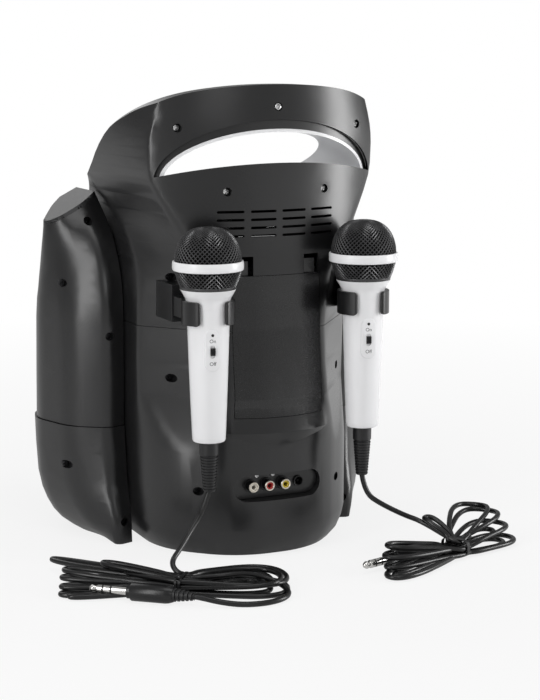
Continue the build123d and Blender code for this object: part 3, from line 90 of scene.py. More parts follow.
# ------------------------------------------------------------------ node trees
def operator(operation: str, reflected: bool = False) -> Callable[["Ex", Value], "Ex"]:
    """An operator of Ex, which adds one Math node.

    Args:
        operation: the Math node's operation.
        reflected: whether the wrapped value is the right operand.

    Returns:
        The method.
    """

    def apply(self: "Ex", other: Value = 0.0) -> "Ex":
        """Add the node and wrap its result."""
        first, second = (other, self) if reflected else (self, other)
        return self.graph.value("ShaderNodeMath", {"operation": operation}, {0: first, 1: second})

    return apply


class Ex:
    """A value socket that takes part in ordinary Python arithmetic."""

    __add__, __radd__ = operator("ADD"), operator("ADD", True)
    __sub__, __rsub__ = operator("SUBTRACT"), operator("SUBTRACT", True)
    __mul__, __rmul__ = operator("MULTIPLY"), operator("MULTIPLY", True)
    __truediv__, __rtruediv__ = operator("DIVIDE"), operator("DIVIDE", True)
    __pow__, __rpow__ = operator("POWER"), operator("POWER", True)
    above, below = operator("GREATER_THAN"), operator("LESS_THAN")
    larger, smaller = operator("MAXIMUM"), operator("MINIMUM")
    sine, absolute = operator("SINE"), operator("ABSOLUTE")

    def __init__(self, graph: "Nodes", socket: bpy.types.NodeSocket) -> None:
        """Wrap a socket of a graph."""
        self.graph = graph
        self.socket = socket

    def clamped(self) -> "Ex":
        """The value held between 0 and 1."""
        return self.larger(0.0).smaller(1.0)


class Nodes:
    """A node tree that is filled from Python."""

    def __init__(self, tree: bpy.types.NodeTree) -> None:
        """Start with an empty tree."""
        self.tree = tree
        tree.nodes.clear()

    def node(self, kind: str, settings: Dict[str, object], inputs: Dict[Key, object]) -> bpy.types.Node:
        """Add any node.

        Args:
            kind: the node's type.
            settings: properties that are set before the sockets.
            inputs: a constant, a socket or an expression for each named socket.

        Returns:
            The new node.
        """
        made = self.tree.nodes.new(kind)
        for name, setting in settings.items():
            setattr(made, name, setting)
        for key, given in inputs.items():
            entry = made.inputs[key]
            source = given.socket if isinstance(given, Ex) else given
            if isinstance(source, bpy.types.NodeSocket):
                self.tree.links.new(source, entry)
            else:
                entry.default_value = (*source, 1.0) if entry.type == "RGBA" else source
        return made

    def value(
        self, kind: str, settings: Dict[str, object], inputs: Dict[Key, object], output: Key = 0
    ) -> Ex:
        """Add a node and wrap one of its outputs as an expression."""
        return Ex(self, self.node(kind, settings, inputs).outputs[output])

    def seen(self, mirrored: Value) -> Ex:
        """Which rays see a pure white instead of the lit surroundings.

        Args:
            mirrored: share of the white in reflections.

        Returns:
            One for rays from the camera, also through a window, and the share for mirrored ones.
        """
        rays = self.node("ShaderNodeLightPath", {}, {})
        kinds = ("Camera", "Transmission", "Glossy")
        straight, through, glossy = (Ex(self, rays.outputs[f"Is {kind} Ray"]) for kind in kinds)
        return straight.larger(through).larger(glossy * mirrored)


class Graph(Nodes):
    """The node tree of one material."""

    def __init__(self, name: str) -> None:
        """Start an empty material.

        Args:
            name: the material's name.
        """
        self.material = bpy.data.materials.new(name)
        self.material.use_nodes = True
        super().__init__(self.material.node_tree)

    def place(self) -> bpy.types.NodeSocket:
        """Object coordinates, in metres."""
        return self.node("ShaderNodeTexCoord", {}, {}).outputs["Object"]

    def noise(self, scale: float, detail: float = 2.0, roughness: float = 0.5) -> Ex:
        """Soft noise over the object.

        Args:
            scale: features per metre.
            detail: number of octaves.
            roughness: weight of the finer octaves.

        Returns:
            A value around 0.5.
        """
        return self.value(
            "ShaderNodeTexNoise",
            {},
            {"Vector": self.place(), "Scale": scale, "Detail": detail, "Roughness": roughness},
        )

    def streaks(self) -> Ex:
        """Faint level flow marks, as a moulding tool leaves them."""
        stretched = self.node(
            "ShaderNodeMapping", {}, {"Vector": self.place(), "Scale": (14.0, 14.0, 900.0)}
        ).outputs[0]
        return self.value("ShaderNodeTexNoise", {}, {"Vector": stretched, "Scale": 1.0, "Detail": 2.0})

    def axis(self, index: int) -> Ex:
        """One object coordinate, in metres."""
        return self.value("ShaderNodeSeparateXYZ", {}, {0: self.place()}, index)

    def blend(self, factor: Value, low: object, high: object) -> bpy.types.NodeSocket:
        """Mix two colours.

        Args:
            factor: 0 gives low, 1 gives high.
            low: a colour or a colour socket.
            high: a colour or a colour socket.

        Returns:
            The mixed colour.
        """
        return self.node("ShaderNodeMix", {"data_type": "RGBA"}, {0: factor, 6: low, 7: high}).outputs[2]

    def bump(self, height: Ex, depth: float) -> bpy.types.NodeSocket:
        """A relief normal.

        Args:
            height: relief between 0 and 1.
            depth: height of the relief in metres.

        Returns:
            The normal socket.
        """
        return self.node("ShaderNodeBump", {}, {"Height": height, "Distance": depth}).outputs["Normal"]

    def finish(self, sockets: Dict[Key, object]) -> bpy.types.Material:
        """Close the material with a Principled shader.

        Args:
            sockets: what each of the shader's sockets is given.

        Returns:
            The finished material.
        """
        shader = self.node("ShaderNodeBsdfPrincipled", {}, sockets)
        self.node("ShaderNodeOutputMaterial", {}, {"Surface": shader.outputs[0]})
        return self.material


# ------------------------------------------------------------------ finishes
@dataclass(frozen=True)
class Finish:
    """A coated surface: a soft noise sways its tone and gloss and a fine one is its relief."""

    name: str
    colour: Colour = (0.5, 0.5, 0.5)
    roughness: float = 0.3
    relief: float = 0.0
    tones: Tuple[float, float] = (1.0, 1.0)
    cloud: Noise = (14.0, 2.0, 0.5)
    fine: Noise = (420.0, 2.0, 0.5)
    sway: float = 0.06
    metallic: float = 0.0
    specular: float = 0.5
    coat: float = 0.0
    coat_roughness: float = 0.06

    def sockets(self, graph: Graph) -> Dict[Key, object]:
        """Work out what the shader's sockets are given.

        Args:
            graph: the material's node tree.

        Returns:
            A value, a socket or an expression for each.
        """
        cloud = graph.noise(*self.cloud)
        low, high = (tuple(c * tone for c in self.colour) for tone in self.tones)
        given = {
            "Metallic": self.metallic,
            "Specular IOR Level": self.specular,
            "Coat Weight": self.coat,
            "Coat Roughness": self.coat_roughness,
            "Base Color": graph.blend(cloud, low, high),
            "Roughness": (cloud - 0.5) * self.sway + self.roughness,
        }
        if self.relief:
            given["Normal"] = graph.bump(graph.noise(*self.fine), self.relief * MM)
        return given

    def material(self) -> bpy.types.Material:
        """The finish's material, made on first use."""
        found = bpy.data.materials.get(self.name)
        if found is None:
            graph = Graph(self.name)
            found = graph.finish(self.sockets(graph))
        return found


@dataclass(frozen=True)
class Lacquer(Finish):
    """Smooth glossy paint or polished plastic with a faint orange peel."""

    relief: float = 0.02
    tones: Tuple[float, float] = (0.975, 1.0)
    coat: float = 0.5


@dataclass(frozen=True)
class Metal(Finish):
    """Plated or blackened metal with fine drawn scratches."""

    relief: float = 0.01
    tones: Tuple[float, float] = (0.8, 1.0)
    cloud: Noise = (160.0, 3.0, 0.6)
    fine: Noise = (2600.0, 2.0, 0.5)
    sway: float = 0.2
    metallic: float = 1.0


@dataclass(frozen=True)
class Rubber(Finish):
    """Soft black rubber or cord jacket, matt with rubbed patches."""

    relief: float = 0.03
    tones: Tuple[float, float] = (1.0, 1.9)
    cloud: Noise = (55.0, 3.0, 0.55)
    fine: Noise = (900.0, 2.0, 0.6)
    sway: float = 0.22
    specular: float = 0.45


@dataclass(frozen=True)
class Clear(Finish):
    """Clear window."""

    tones: Tuple[float, float] = (0.9, 1.0)
    cloud: Noise = (30.0, 2.0, 0.5)
    coat: float = 0.6
    coat_roughness: float = 0.04
    alpha: float = 0.35
    haze: float = 0.04

    def sockets(self, graph: Graph) -> Dict[Key, object]:
        """Work out what the shader's sockets are given.

        Args:
            graph: the material's node tree.

        Returns:
            A value, a socket or an expression for each.
        """
        return {**super().sockets(graph), "Alpha": (graph.noise(*self.cloud) - 0.5) * self.haze + self.alpha}


@dataclass(frozen=True)
class Moulding(Finish):
    """Injection-moulded plastic with a fine spark-eroded grain."""

    relief: float = 0.06
    cloud: Noise = (9.0, 3.0, 0.55)
    sway: float = 0.10
    grain_scale: float = 1500.0
    dust: float = 0.25
    specular: float = 0.42
    streak: float = 0.0

    def sockets(self, graph: Graph) -> Dict[Key, object]:
        """Work out what the shader's sockets are given.

        Args:
            graph: the material's node tree.

        Returns:
            A value, a socket or an expression for each.
        """
        cloud = graph.noise(*self.cloud)
        speck = graph.noise(self.grain_scale, 2.0, 0.6)
        fine = graph.noise(self.grain_scale * 2.6, 1.0, 0.5)
        tone = (cloud * 0.7 + speck * 0.3).clamped()
        low = tuple(c * (1.0 - self.dust) for c in self.colour)
        high = tuple(min(1.0, c * (1.0 + self.dust)) for c in self.colour)
        relief = speck * 0.65 + fine * 0.35
        if self.streak:
            relief = relief * (1.0 - self.streak) + graph.streaks() * self.streak
        return {
            "Specular IOR Level": self.specular,
            "Base Color": graph.blend(tone, low, high),
            "Roughness": (cloud - 0.5) * self.sway + (speck - 0.5) * self.sway + self.roughness,
            "Normal": graph.bump(relief, self.relief * MM),
        }


@dataclass(frozen=True)
class Board(Finish):
    """Circuit board under solder mask, with pale pads."""

    relief: float = 0.05
    pad_size: float = 0.16
    pads_per_metre: float = 260.0

    def sockets(self, graph: Graph) -> Dict[Key, object]:
        """Work out what the shader's sockets are given.

        Args:
            graph: the material's node tree.

        Returns:
            A value, a socket or an expression for each.
        """
        cells = {"Vector": graph.place(), "Scale": self.pads_per_metre}
        pad = graph.value("ShaderNodeTexVoronoi", {"feature": "F1"}, cells, "Distance").below(self.pad_size)
        green = graph.blend(graph.noise(60.0), (0.015, 0.09, 0.04), (0.02, 0.14, 0.06))
        return {
            "Base Color": graph.blend(pad, green, (0.6, 0.55, 0.4)),
            "Roughness": 0.5 - pad * 0.2,
            "Normal": graph.bump(pad, self.relief * MM),
        }


@dataclass(frozen=True)
class Perforated(Finish):
    """Black sheet metal with rows of round holes, painted near black: partly the dark parts behind them,
    partly painted shade in them.
    """

    relief: float = 0.4
    pitch: float = 3.0
    hole: float = 0.55

    def sockets(self, graph: Graph) -> Dict[Key, object]:
        """Work out what the shader's sockets are given.

        Args:
            graph: the material's node tree.

        Returns:
            A value, a socket or an expression for each.
        """
        turn = math.pi / (self.pitch * MM)
        wave = (graph.axis(0) * turn).sine() * (graph.axis(2) * turn).sine()
        hole = wave.absolute().above(self.hole)
        metal = graph.blend(graph.noise(40.0), (0.035, 0.035, 0.037), (0.05, 0.05, 0.052))
        return {
            "Specular IOR Level": self.specular,
            # The holes are painted near black: partly the dark parts behind, partly painted shade in them.
            "Base Color": graph.blend(hole, metal, (0.002, 0.002, 0.002)),
            "Metallic": (1.0 - hole) * 0.8,
            "Roughness": 0.4 + hole * 0.5,
            "Normal": graph.bump(1.0 - hole, self.relief * MM),
        }


BODY = Moulding("body_black_grain", (0.0075, 0.0075, 0.008), 0.3, 0.002, dust=0.3, specular=0.6, streak=0.3)
DOOR = Moulding("door_black_grain", (0.008, 0.008, 0.0085), 0.28, 0.0015, dust=0.3, specular=0.6, streak=0.3)
CAP = Moulding("cap_dark_grey", (0.014, 0.0142, 0.015), 0.42, 0.008)
CLIP = Moulding("clip_black_satin", (0.008, 0.008, 0.0085), 0.3, 0.003, grain_scale=2200.0)
# Dark finish of the inside parts; in the microphone switch slots it is painted shade.
INNER_BLACK_AND_SHADE = Moulding("inner_black", (0.012, 0.012, 0.012), 0.6, 0.04)
FOAM = Moulding(
    "mesh_inner_foam", (0.0008, 0.0008, 0.0008), 0.95, 0.15, grain_scale=700.0, dust=0.3, specular=0.1
)
PRINT = Moulding("print_grey", (0.05, 0.05, 0.05), 0.6, 0.01)
DECK = Lacquer("deck_light_grey", (0.52, 0.53, 0.55), 0.24, coat=0.3)
LINER = Lacquer("liner_white", (0.78, 0.78, 0.79), 0.2, coat=0.4)
WHITE = Lacquer("mic_white", (0.60, 0.60, 0.61), 0.14, 0.012, coat=0.7)
DISPLAY = Lacquer("display_dark", (0.008, 0.012, 0.018), 0.08, 0.005, coat=0.8)
JACK_WHITE = Lacquer("jack_white", (0.72, 0.68, 0.6), 0.3, coat=0.2)
JACK_RED = Lacquer("jack_red", (0.45, 0.02, 0.015), 0.3, coat=0.2)
JACK_YELLOW = Lacquer("jack_yellow", (0.62, 0.46, 0.02), 0.3, coat=0.2)
WIRE = Metal("mesh_black_wire", (0.075, 0.075, 0.077), 0.3, metallic=0.6)
STEEL = Metal("screw_bright", (0.66, 0.66, 0.66), 0.25)
DARK_STEEL = Metal("screw_black", (0.03, 0.03, 0.032), 0.4, metallic=0.7)
NICKEL = Metal("plug_nickel", (0.72, 0.71, 0.69), 0.16)
COLLAR = Metal("jack_collar", (0.82, 0.76, 0.66), 0.3, metallic=0.55)
JACKET = Rubber("cord_jacket", (0.004, 0.004, 0.0042), 0.3)
SLEEVE = Rubber("soft_sleeve", (0.006, 0.006, 0.0065), 0.42)
FOOT = Rubber("foot_rubber", (0.014, 0.014, 0.014), 0.7)
WINDOW = Clear("lid_window_clear", (0.7, 0.74, 0.78), 0.11)
LENS = Clear("lens_clear", (0.75, 0.8, 0.86), 0.15, alpha=0.75)
PCB = Board("circuit_board")
GRILLE = Perforated("grille_perforated")


# ------------------------------------------------------------------ mesh helpers
def linked(name: str, data: bpy.types.ID, *finishes: Finish) -> bpy.types.Object:
    """Put a mesh, a curve, a lamp or a camera into the scene.

    Args:
        name: the new object's name.
        data: what it shows.
        finishes: the materials that it takes.

    Returns:
        The new object, at the origin.
    """
    for finish in finishes:
        data.materials.append(finish.material())
    made = bpy.data.objects.new(name, data)
    bpy.context.collection.objects.link(made)
    return made


def solid(name: str, verts: Sequence[Point], faces: Faces, *finishes: Finish) -> bpy.types.Object:
    """Make an object from points in metres.

    Args:
        name: the piece's name.
        verts: its points.
        faces: its faces as point numbers.
        finishes: its materials, first one used throughout.

    Returns:
        The new object, at the origin.
    """
    mesh = bpy.data.meshes.new(name)
    mesh.from_pydata([tuple(v) for v in verts], [], faces)
    return linked(name, mesh, *finishes)


def skin(rings: int, around: int, closed: bool = False, capped: bool = False) -> Faces:
    """The faces between neighbouring rings of points.

    Args:
        rings: number of rings.
        around: points on each ring.
        closed: whether the last ring meets the first.
        capped: whether the first and the last ring are filled.

    Returns:
        The faces as point numbers.
    """
    faces: Faces = []
    for ring in range(rings if closed else rings - 1):
        here, there = ring * around, (ring + 1) % rings * around
        for step in range(around):
            after = (step + 1) % around
            faces.append((here + step, here + after, there + after, there + step))
    if capped:
        last = (rings - 1) * around
        faces += [tuple(range(around)), tuple(range(last, last + around))]
    return faces


def circle(around: int, phase: float = 0.0) -> List[Tuple[float, float]]:
    """Cosine and sine at even steps round a circle.

    Args:
        around: number of steps.
        phase: where the first one lies, in steps.

    Returns:
        The pairs, in order.
    """
    angles = [2.0 * math.pi * (step + phase) / around for step in range(around)]
    return [(math.cos(angle), math.sin(angle)) for angle in angles]


def evaluated_mesh(piece: bpy.types.Object) -> bpy.types.Mesh:
    """A plain mesh of a piece as its modifiers or its curve leave it."""
    graph = bpy.context.evaluated_depsgraph_get()
    return bpy.data.meshes.new_from_object(piece.evaluated_get(graph), depsgraph=graph)


def outward(piece: bpy.types.Object, merge: float = FINE_WELD) -> None:
    """Merge doubled points and turn every face outwards.

    Args:
        piece: what is mended.
        merge: how near points are merged, in metres.
    """
    work = bmesh.new()
    work.from_mesh(piece.data)
    bmesh.ops.remove_doubles(work, verts=work.verts, dist=merge)
    bmesh.ops.recalc_face_normals(work, faces=work.faces)
    work.to_mesh(piece.data)
    work.free()


def shade(piece: bpy.types.Object, smoothness: Smoothness) -> None:
    """Shade faces smoothly up to an angle between neighbours."""
    mesh = piece.data
    mesh.polygons.foreach_set("use_smooth", [True] * len(mesh.polygons))
    mesh.set_sharp_from_angle(angle=math.radians(smoothness.value))


def bake_modifiers(piece: bpy.types.Object) -> None:
    """Turn a piece's modifiers into plain mesh."""
    mesh = evaluated_mesh(piece)
    piece.modifiers.clear()
    old = piece.data
    piece.data = mesh
    bpy.data.meshes.remove(old)


def turned(
    name: str,
    profile: Profile,
    base: Point,
    axis: Point,
    finish: Finish,
    around: int = 64,
    smoothness: Smoothness = Smoothness.SOFT,
) -> bpy.types.Object:
    """A body of revolution.

    Args:
        name: the piece's name.
        profile: (radius, distance along the axis) in millimetres, from one end to the other.
        base: start of the axis, in millimetres.
        axis: direction of the axis.
        finish: its finish.
        around: facets round the axis.
        smoothness: shading limit.

    Returns:
        The new object.
    """
    direction = Vector(axis).normalized()
    side = direction.orthogonal().normalized()
    up = direction.cross(side)
    start = Vector(base)
    verts: List[Point] = []
    for radius, reach in profile:
        for cosine, sine in circle(around):
            offset = side * cosine * radius + up * sine * radius
            verts.append(tuple((start + direction * reach + offset) * MM))
    made = solid(name, verts, skin(len(profile), around), finish)
    outward(made, WELD)
    shade(made, smoothness)
    return made


def joined(name: str, pieces: Sequence[bpy.types.Object]) -> bpy.types.Object:
    """Join several pieces into one object.

    Args:
        name: the new piece's name.
        pieces: the objects to join; they are used up.

    Returns:
        The joined object.
    """
    slots: List[bpy.types.Material] = []
    work = bmesh.new()
    for piece in pieces:
        start = len(work.faces)
        work.from_mesh(piece.data)
        work.faces.ensure_lookup_table()
        order = []
        for material in piece.data.materials:
            if material not in slots:
                slots.append(material)
            order.append(slots.index(material))
        for face in work.faces[start:]:
            face.material_index = order[min(face.material_index, len(order) - 1)]
    mesh = bpy.data.meshes.new(name)
    work.to_mesh(mesh)
    work.free()
    for material in slots:
        mesh.materials.append(material)
    made = linked(name, mesh)
    for piece in pieces:
        bpy.data.objects.remove(piece)
    return made


def carried(
    node: str,
    finish: Finish,
    body: str = "cabinet",
    smoothness: Smoothness = Smoothness.SOFT,
    bevel: float = 0.0,
    even: bool = False,
) -> bpy.types.Object:
    """Dress a CAD node with a smooth-shaded copy that stands for it.

    Args:
        node: the CAD node.
        finish: its finish.
        body: the body that it rides on.
        smoothness: shading limit.
        bevel: width of the rounded edges in millimetres, 0 for none.
        even: shade it by the average lie of its surface.

    Returns:
        The new piece.
    """
    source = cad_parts[node]
    mesh = source.data.copy()
    mesh.materials.clear()
    made = linked(node + "_dressed", mesh, finish)
    work = bmesh.new()
    work.from_mesh(mesh)
    bmesh.ops.remove_doubles(work, verts=work.verts, dist=WELD)
    if bevel:
        bmesh.ops.dissolve_limit(work, angle_limit=FLAT_ANGLE, verts=work.verts, edges=work.edges)
    for face in work.faces:
        face.material_index = 0
    work.to_mesh(mesh)
    work.free()
    if bevel:
        edge = made.modifiers.new("edge", "BEVEL")
        edge.width = bevel * MM
        edge.segments = 3
        edge.limit_method = "ANGLE"
        edge.angle_limit = EDGE_ANGLE
        edge.use_clamp_overlap = True
        bake_modifiers(made)
    shade(made, smoothness)
    weigh(made)
    if even:
        even_normals(made)
    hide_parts(node)
    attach(made, body)
    LOG.info("dressed %s", node)
    return made


def weigh(piece: bpy.types.Object) -> None:
    """Let large faces steer the shading normals at their corners."""
    modifier = piece.modifiers.new("weigh", "WEIGHTED_NORMAL")
    modifier.keep_sharp = True
    modifier.weight = 80
    bake_modifiers(piece)


def even_normals(
    piece: bpy.types.Object,
    reach: float = 6.5,
    spacing: float = 2.8,
    limit: float = 0.87,
    ramp: float = 16.0,
    own_share: float = 0.05,
    seed: int = 17,
) -> None:
    """Shade a moulded shell by the average lie of its surface, not by single triangles.

    Args:
        piece: the shell, already shaded smooth up to its sharp edges.
        reach: how far round a corner the surface is averaged, in millimetres.
        spacing: distance between the sampled points, in millimetres.
        limit: cosine between a face and a sampled lie that no longer counts.
        ramp: how fast the weight grows past that limit, and how finely face normals are told apart.
        own_share: weight of the face's own normal.
        seed: seed of the sampled points.
    """
    mesh = piece.data
    chance = random.Random(seed)
    places: List[Vector] = []
    lies: List[Vector] = []
    mesh.calc_loop_triangles()
    points = [vertex.co.copy() for vertex in mesh.vertices]
    owed = 0.0
    for triangle in mesh.loop_triangles:
        a, b, c = (points[index] for index in triangle.vertices)
        owed += triangle.area / (spacing * MM) ** 2
        while owed >= 1.0:
            owed -= 1.0
            u, v = chance.random(), chance.random()
            if u + v > 1.0:
                u, v = 1.0 - u, 1.0 - v
            places.append(a + (b - a) * u + (c - a) * v)
            lies.append(triangle.normal.copy())
    tree = KDTree(len(places))
    for index, place in enumerate(places):
        tree.insert(place, index)
    tree.balance()
    known: Dict[Tuple[int, int, int, int], Vector] = {}
    near: Dict[int, list] = {}
    normals: List[Vector] = []
    for face in mesh.polygons:
        own = face.normal.copy()
        rough = tuple(round(value * ramp) for value in own)
        for corner in face.vertices:
            key = (corner, *rough)
            if key not in known:
                if corner not in near:
                    near[corner] = tree.find_range(points[corner], reach * MM)
                total = own * own_share
                for _, index, away in near[corner]:
                    likeness = own.dot(lies[index]) - limit
                    if likeness > 0.0:
                        total += lies[index] * (min(1.0, likeness * ramp) * (1.0 - away / (reach * MM)))
                known[key] = total.normalized()
            normals.append(known[key])
    mesh.normals_split_custom_set(normals)


def stand_for(piece: bpy.types.Object, body: str, *nodes: str) -> bpy.types.Object:
    """Let a new piece stand for CAD nodes and ride on their body."""
    if nodes:
        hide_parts(*nodes)
    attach(piece, body)
    LOG.info("built %s", piece.name)
    return piece


# ------------------------------------------------------------------ Geometry Nodes
class Repeat(Nodes):
    """A Geometry Nodes tree with named inputs for its sizes."""

    def __init__(self, name: str) -> None:
        """Start a tree that takes and gives a geometry.

        Args:
            name: the tree's name.
        """
        super().__init__(bpy.data.node_groups.new(name, "GeometryNodeTree"))
        self.identifiers: Dict[str, str] = {}
        self.tree.interface.new_socket("Geometry", in_out="INPUT", socket_type="NodeSocketGeometry")
        self.tree.interface.new_socket("Geometry", in_out="OUTPUT", socket_type="NodeSocketGeometry")
        self.entry = self.tree.nodes.new("NodeGroupInput")
        self.exit = self.tree.nodes.new("NodeGroupOutput")

    def input(self, name: str, kind: str) -> bpy.types.NodeSocket:
        """Add a named input and give its socket inside the tree."""
        made = self.tree.interface.new_socket(name, in_out="INPUT", socket_type=kind)
        self.identifiers[name] = made.identifier
        return self.entry.outputs[name]

    def close(self, instances: bpy.types.NodeSocket, finish: Finish) -> None:
        """End the tree: make the instances real and dress them."""
        real = self.node("GeometryNodeRealizeInstances", {}, {"Geometry": instances})
        dress = {"Geometry": real.outputs[0], "Material": finish.material()}
        dressed = self.node("GeometryNodeSetMaterial", {}, dress)
        self.tree.links.new(dressed.outputs[0], self.exit.inputs[0])

    def run(self, piece: bpy.types.Object, values: Dict[str, object], finish: Finish) -> bpy.types.Object:
        """Apply the tree to a piece and leave a plain mesh.

        Args:
            piece: the object whose mesh goes in.
            values: a value for each named input.
            finish: the finish of the result.

        Returns:
            The same object with its new mesh.
        """
        modifier = piece.modifiers.new("nodes", "NODES")
        modifier.node_group = self.tree
        for name, given in values.items():
            modifier[self.identifiers[name]] = given
        bake_modifiers(piece)
        piece.data.materials.clear()
        piece.data.materials.append(finish.material())
        for face in piece.data.polygons:
            face.material_index = 0
        return piece


def ring_repeat(finish: Finish) -> Repeat:
    """A tree that repeats its geometry round an upright axis.

    Args:
        finish: the finish of the result.

    Returns:
        The tree; its inputs are Count and Middle.
    """
    tree = Repeat("ring_repeat_" + finish.name)
    count = tree.input("Count", "NodeSocketInt")
    middle = tree.input("Middle", "NodeSocketVector")
    line = tree.node("GeometryNodeMeshLine", {}, {"Count": count, "Offset": (0.0, 0.0, 0.0)})
    turn = tree.value("GeometryNodeInputIndex", {}, {}) / Ex(tree, count) * (2.0 * math.pi)
    spin = tree.node("ShaderNodeCombineXYZ", {}, {"Z": turn})
    points = {"Points": line.outputs[0], "Instance": tree.entry.outputs[0], "Rotation": spin.outputs[0]}
    centred = tree.node("GeometryNodeInstanceOnPoints", {}, points)
    shift = {0: centred.outputs[0], "Translation": middle, "Local Space": False}
    tree.close(tree.node("GeometryNodeTranslateInstances", {}, shift).outputs[0], finish)
    return tree


def seat_repeat(finish: Finish, stamp: bpy.types.Object) -> Repeat:
    """A tree that seats a copy of a small piece on every point, turned at random about Y.

    Args:
        finish: the finish of the result.
        stamp: the piece, built at the origin and facing +Y.

    Returns:
        The tree; its inputs are Turn and Seed.
    """
    tree = Repeat("seat_repeat_" + finish.name)
    turn = tree.input("Turn", "NodeSocketFloat")
    seed = tree.input("Seed", "NodeSocketInt")
    shape = tree.node("GeometryNodeObjectInfo", {}, {"Object": stamp}).outputs["Geometry"]
    angle = tree.node("FunctionNodeRandomValue", {"data_type": "FLOAT"}, {2: 0.0, 3: turn, "Seed": seed})
    spin = tree.node("ShaderNodeCombineXYZ", {}, {"Y": angle.outputs[1]})
    points = {"Points": tree.entry.outputs[0], "Instance": shape, "Rotation": spin.outputs[0]}
    tree.close(tree.node("GeometryNodeInstanceOnPoints", {}, points).outputs[0], finish)
    return tree


def tube(name: str, line: Sequence[Point], radius: float, around: int, finish: Finish) -> bpy.types.Object:
    """A round tube along points in millimetres.

    Args:
        name: the piece's name.
        line: its centreline.
        radius: its radius in millimetres.
        around: facets round it.
        finish: its finish.

    Returns:
        The new object.
    """
    points = [Vector(p) for p in line]
    verts: List[Point] = []
    side: Optional[Vector] = None
    for before, here, after in zip([points[0], *points], points, [*points[1:], points[-1]]):
        run = (after - before).normalized()
        side = run.orthogonal() if side is None else side - run * side.dot(run)
        side.normalize()
        up = run.cross(side)
        verts += [tuple((here + (side * x + up * y) * radius) * MM) for x, y in circle(around)]
    made = solid(name, verts, skin(len(points), around, capped=True), finish)
    outward(made)
    shade(made, Smoothness.ROUND)
    return made


# ------------------------------------------------------------------ camera and stage
@dataclass
class Studio:
    """Camera, floor and lamps."""

    place: Point = (0.6168, 1.3912, 0.4144)
    heading: float = 25.0
    dip: float = 9.71
    lens: float = 95.9
    sensor: float = 36.0
    floor_half: float = 30.0
    glow_near: float = 0.82
    shade_near: float = 0.3
    shade_run: float = 0.9
    side_start: float = 0.05
    side_run: float = 0.5
    world: float = 0.3
    mirrored: float = 0.1
    mirrored_floor: float = 0.35
    aim: Point = (0.0, 0.0, 0.2)
    lamps: Tuple[Tuple[str, Point, Tuple[float, float], float], ...] = (
        ("right_strip", (-1.25, 0.55, 0.36), (0.4, 0.72), 10.0),
        ("left_strip", (1.35, 0.6, 0.6), (0.4, 1.15), 9.0),
        ("rear_panel", (0.35, 1.9, 0.95), (0.7, 0.5), 2.5),
        ("top_panel", (0.1, 0.45, 1.5), (1.1, 0.7), 5.0),
        ("front_panel", (0.3, -1.5, 1.2), (1.2, 0.8), 5.0),
    )

    def camera(self) -> bpy.types.Object:
        """Make the camera at its viewpoint."""
        data = bpy.data.cameras.new("camera")
        data.lens = self.lens
        data.sensor_fit = "AUTO"
        data.sensor_width = self.sensor
        data.clip_end = 60.0
        made = linked("camera", data)
        turn, dip = math.radians(self.heading), math.radians(self.dip)
        look = Vector((-math.sin(turn) * math.cos(dip), -math.cos(turn) * math.cos(dip), -math.sin(dip)))
        made.rotation_euler = look.to_track_quat("-Z", "Y").to_euler()
        made.location = self.place
        bpy.context.scene.camera = made
        return made

    def floor(self) -> bpy.types.Object:
        """Make the pale floor, which keeps the soft contact shadow."""
        half = self.floor_half
        corners = [(-half, -half, 0.0), (half, -half, 0.0), (half, half, 0.0), (-half, half, 0.0)]
        made = solid("floor", corners, [(0, 1, 2, 3)])
        graph = Graph("floor_white")
        x, y = graph.axis(0), graph.axis(1)
        beside = ((x * -1.0 - self.side_start) / self.side_run).clamped()
        direct = graph.seen(beside * (1.0 - self.mirrored_floor) + self.mirrored_floor)
        cloud = graph.noise(2.0, 1.0)
        paint = {"Color": graph.blend(cloud, (0.80, 0.80, 0.80), (0.82, 0.82, 0.82))}
        paper = graph.node("ShaderNodeBsdfDiffuse", {}, paint)
        glow = graph.node("ShaderNodeEmission", {}, {"Color": PURE_WHITE, "Strength": 1.0})
        away = ((x * x + y * y) ** 0.5 - self.shade_near) / self.shade_run
        share = away.clamped() * (1.0 - self.glow_near) + self.glow_near
        layers = {0: direct * share, 1: paper.outputs[0], 2: glow.outputs[0]}
        mixed = graph.node("ShaderNodeMixShader", {}, layers)
        graph.node("ShaderNodeOutputMaterial", {}, {"Surface": mixed.outputs[0]})
        made.data.materials.append(graph.material)
        return made

    def lamp(self, name: str, place: Point, size: Tuple[float, float], power: float) -> None:
        """Make one soft lamp.

        Args:
            name: the lamp's name.
            place: where it hangs, in metres.
            size: its width and height.
            power: watts.
        """
        data = bpy.data.lights.new(name, "AREA")
        data.shape = "RECTANGLE"
        data.size, data.size_y = size
        data.energy = power
        made = linked(name, data)
        made.location = place
        made.rotation_euler = (Vector(self.aim) - Vector(place)).to_track_quat("-Z", "Y").to_euler()

    def backdrop(self) -> None:
        """Make the pale surroundings."""
        world = bpy.data.worlds.new("surroundings")
        bpy.context.scene.world = world
        world.use_nodes = True
        sky = Nodes(world.node_tree)
        soft, white = (
            sky.node("ShaderNodeBackground", {}, {"Color": PURE_WHITE, "Strength": strength})
            for strength in (self.world, 1.0)
        )
        layers = {0: sky.seen(self.mirrored), 1: soft.outputs[0], 2: white.outputs[0]}
        mixed = sky.node("ShaderNodeMixShader", {}, layers)
        sky.node("ShaderNodeOutputWorld", {}, {"Surface": mixed.outputs[0]})

    def build(self) -> None:
        """Make camera, floor, lamps and surroundings."""
        bpy.context.scene.view_settings.view_transform = "Standard"
        self.camera()
        self.floor()
        self.backdrop()
        for name, place, size, power in self.lamps:
            self.lamp(name, place, size, power)
        LOG.info("studio ready")


# ------------------------------------------------------------------ cords
@dataclass
class Bend:
    """One lobe of a hank: where its tip lies and how wide it opens."""

    tip: Point
    half: float
    bow: float = 0.0
    rise: float = 0.0


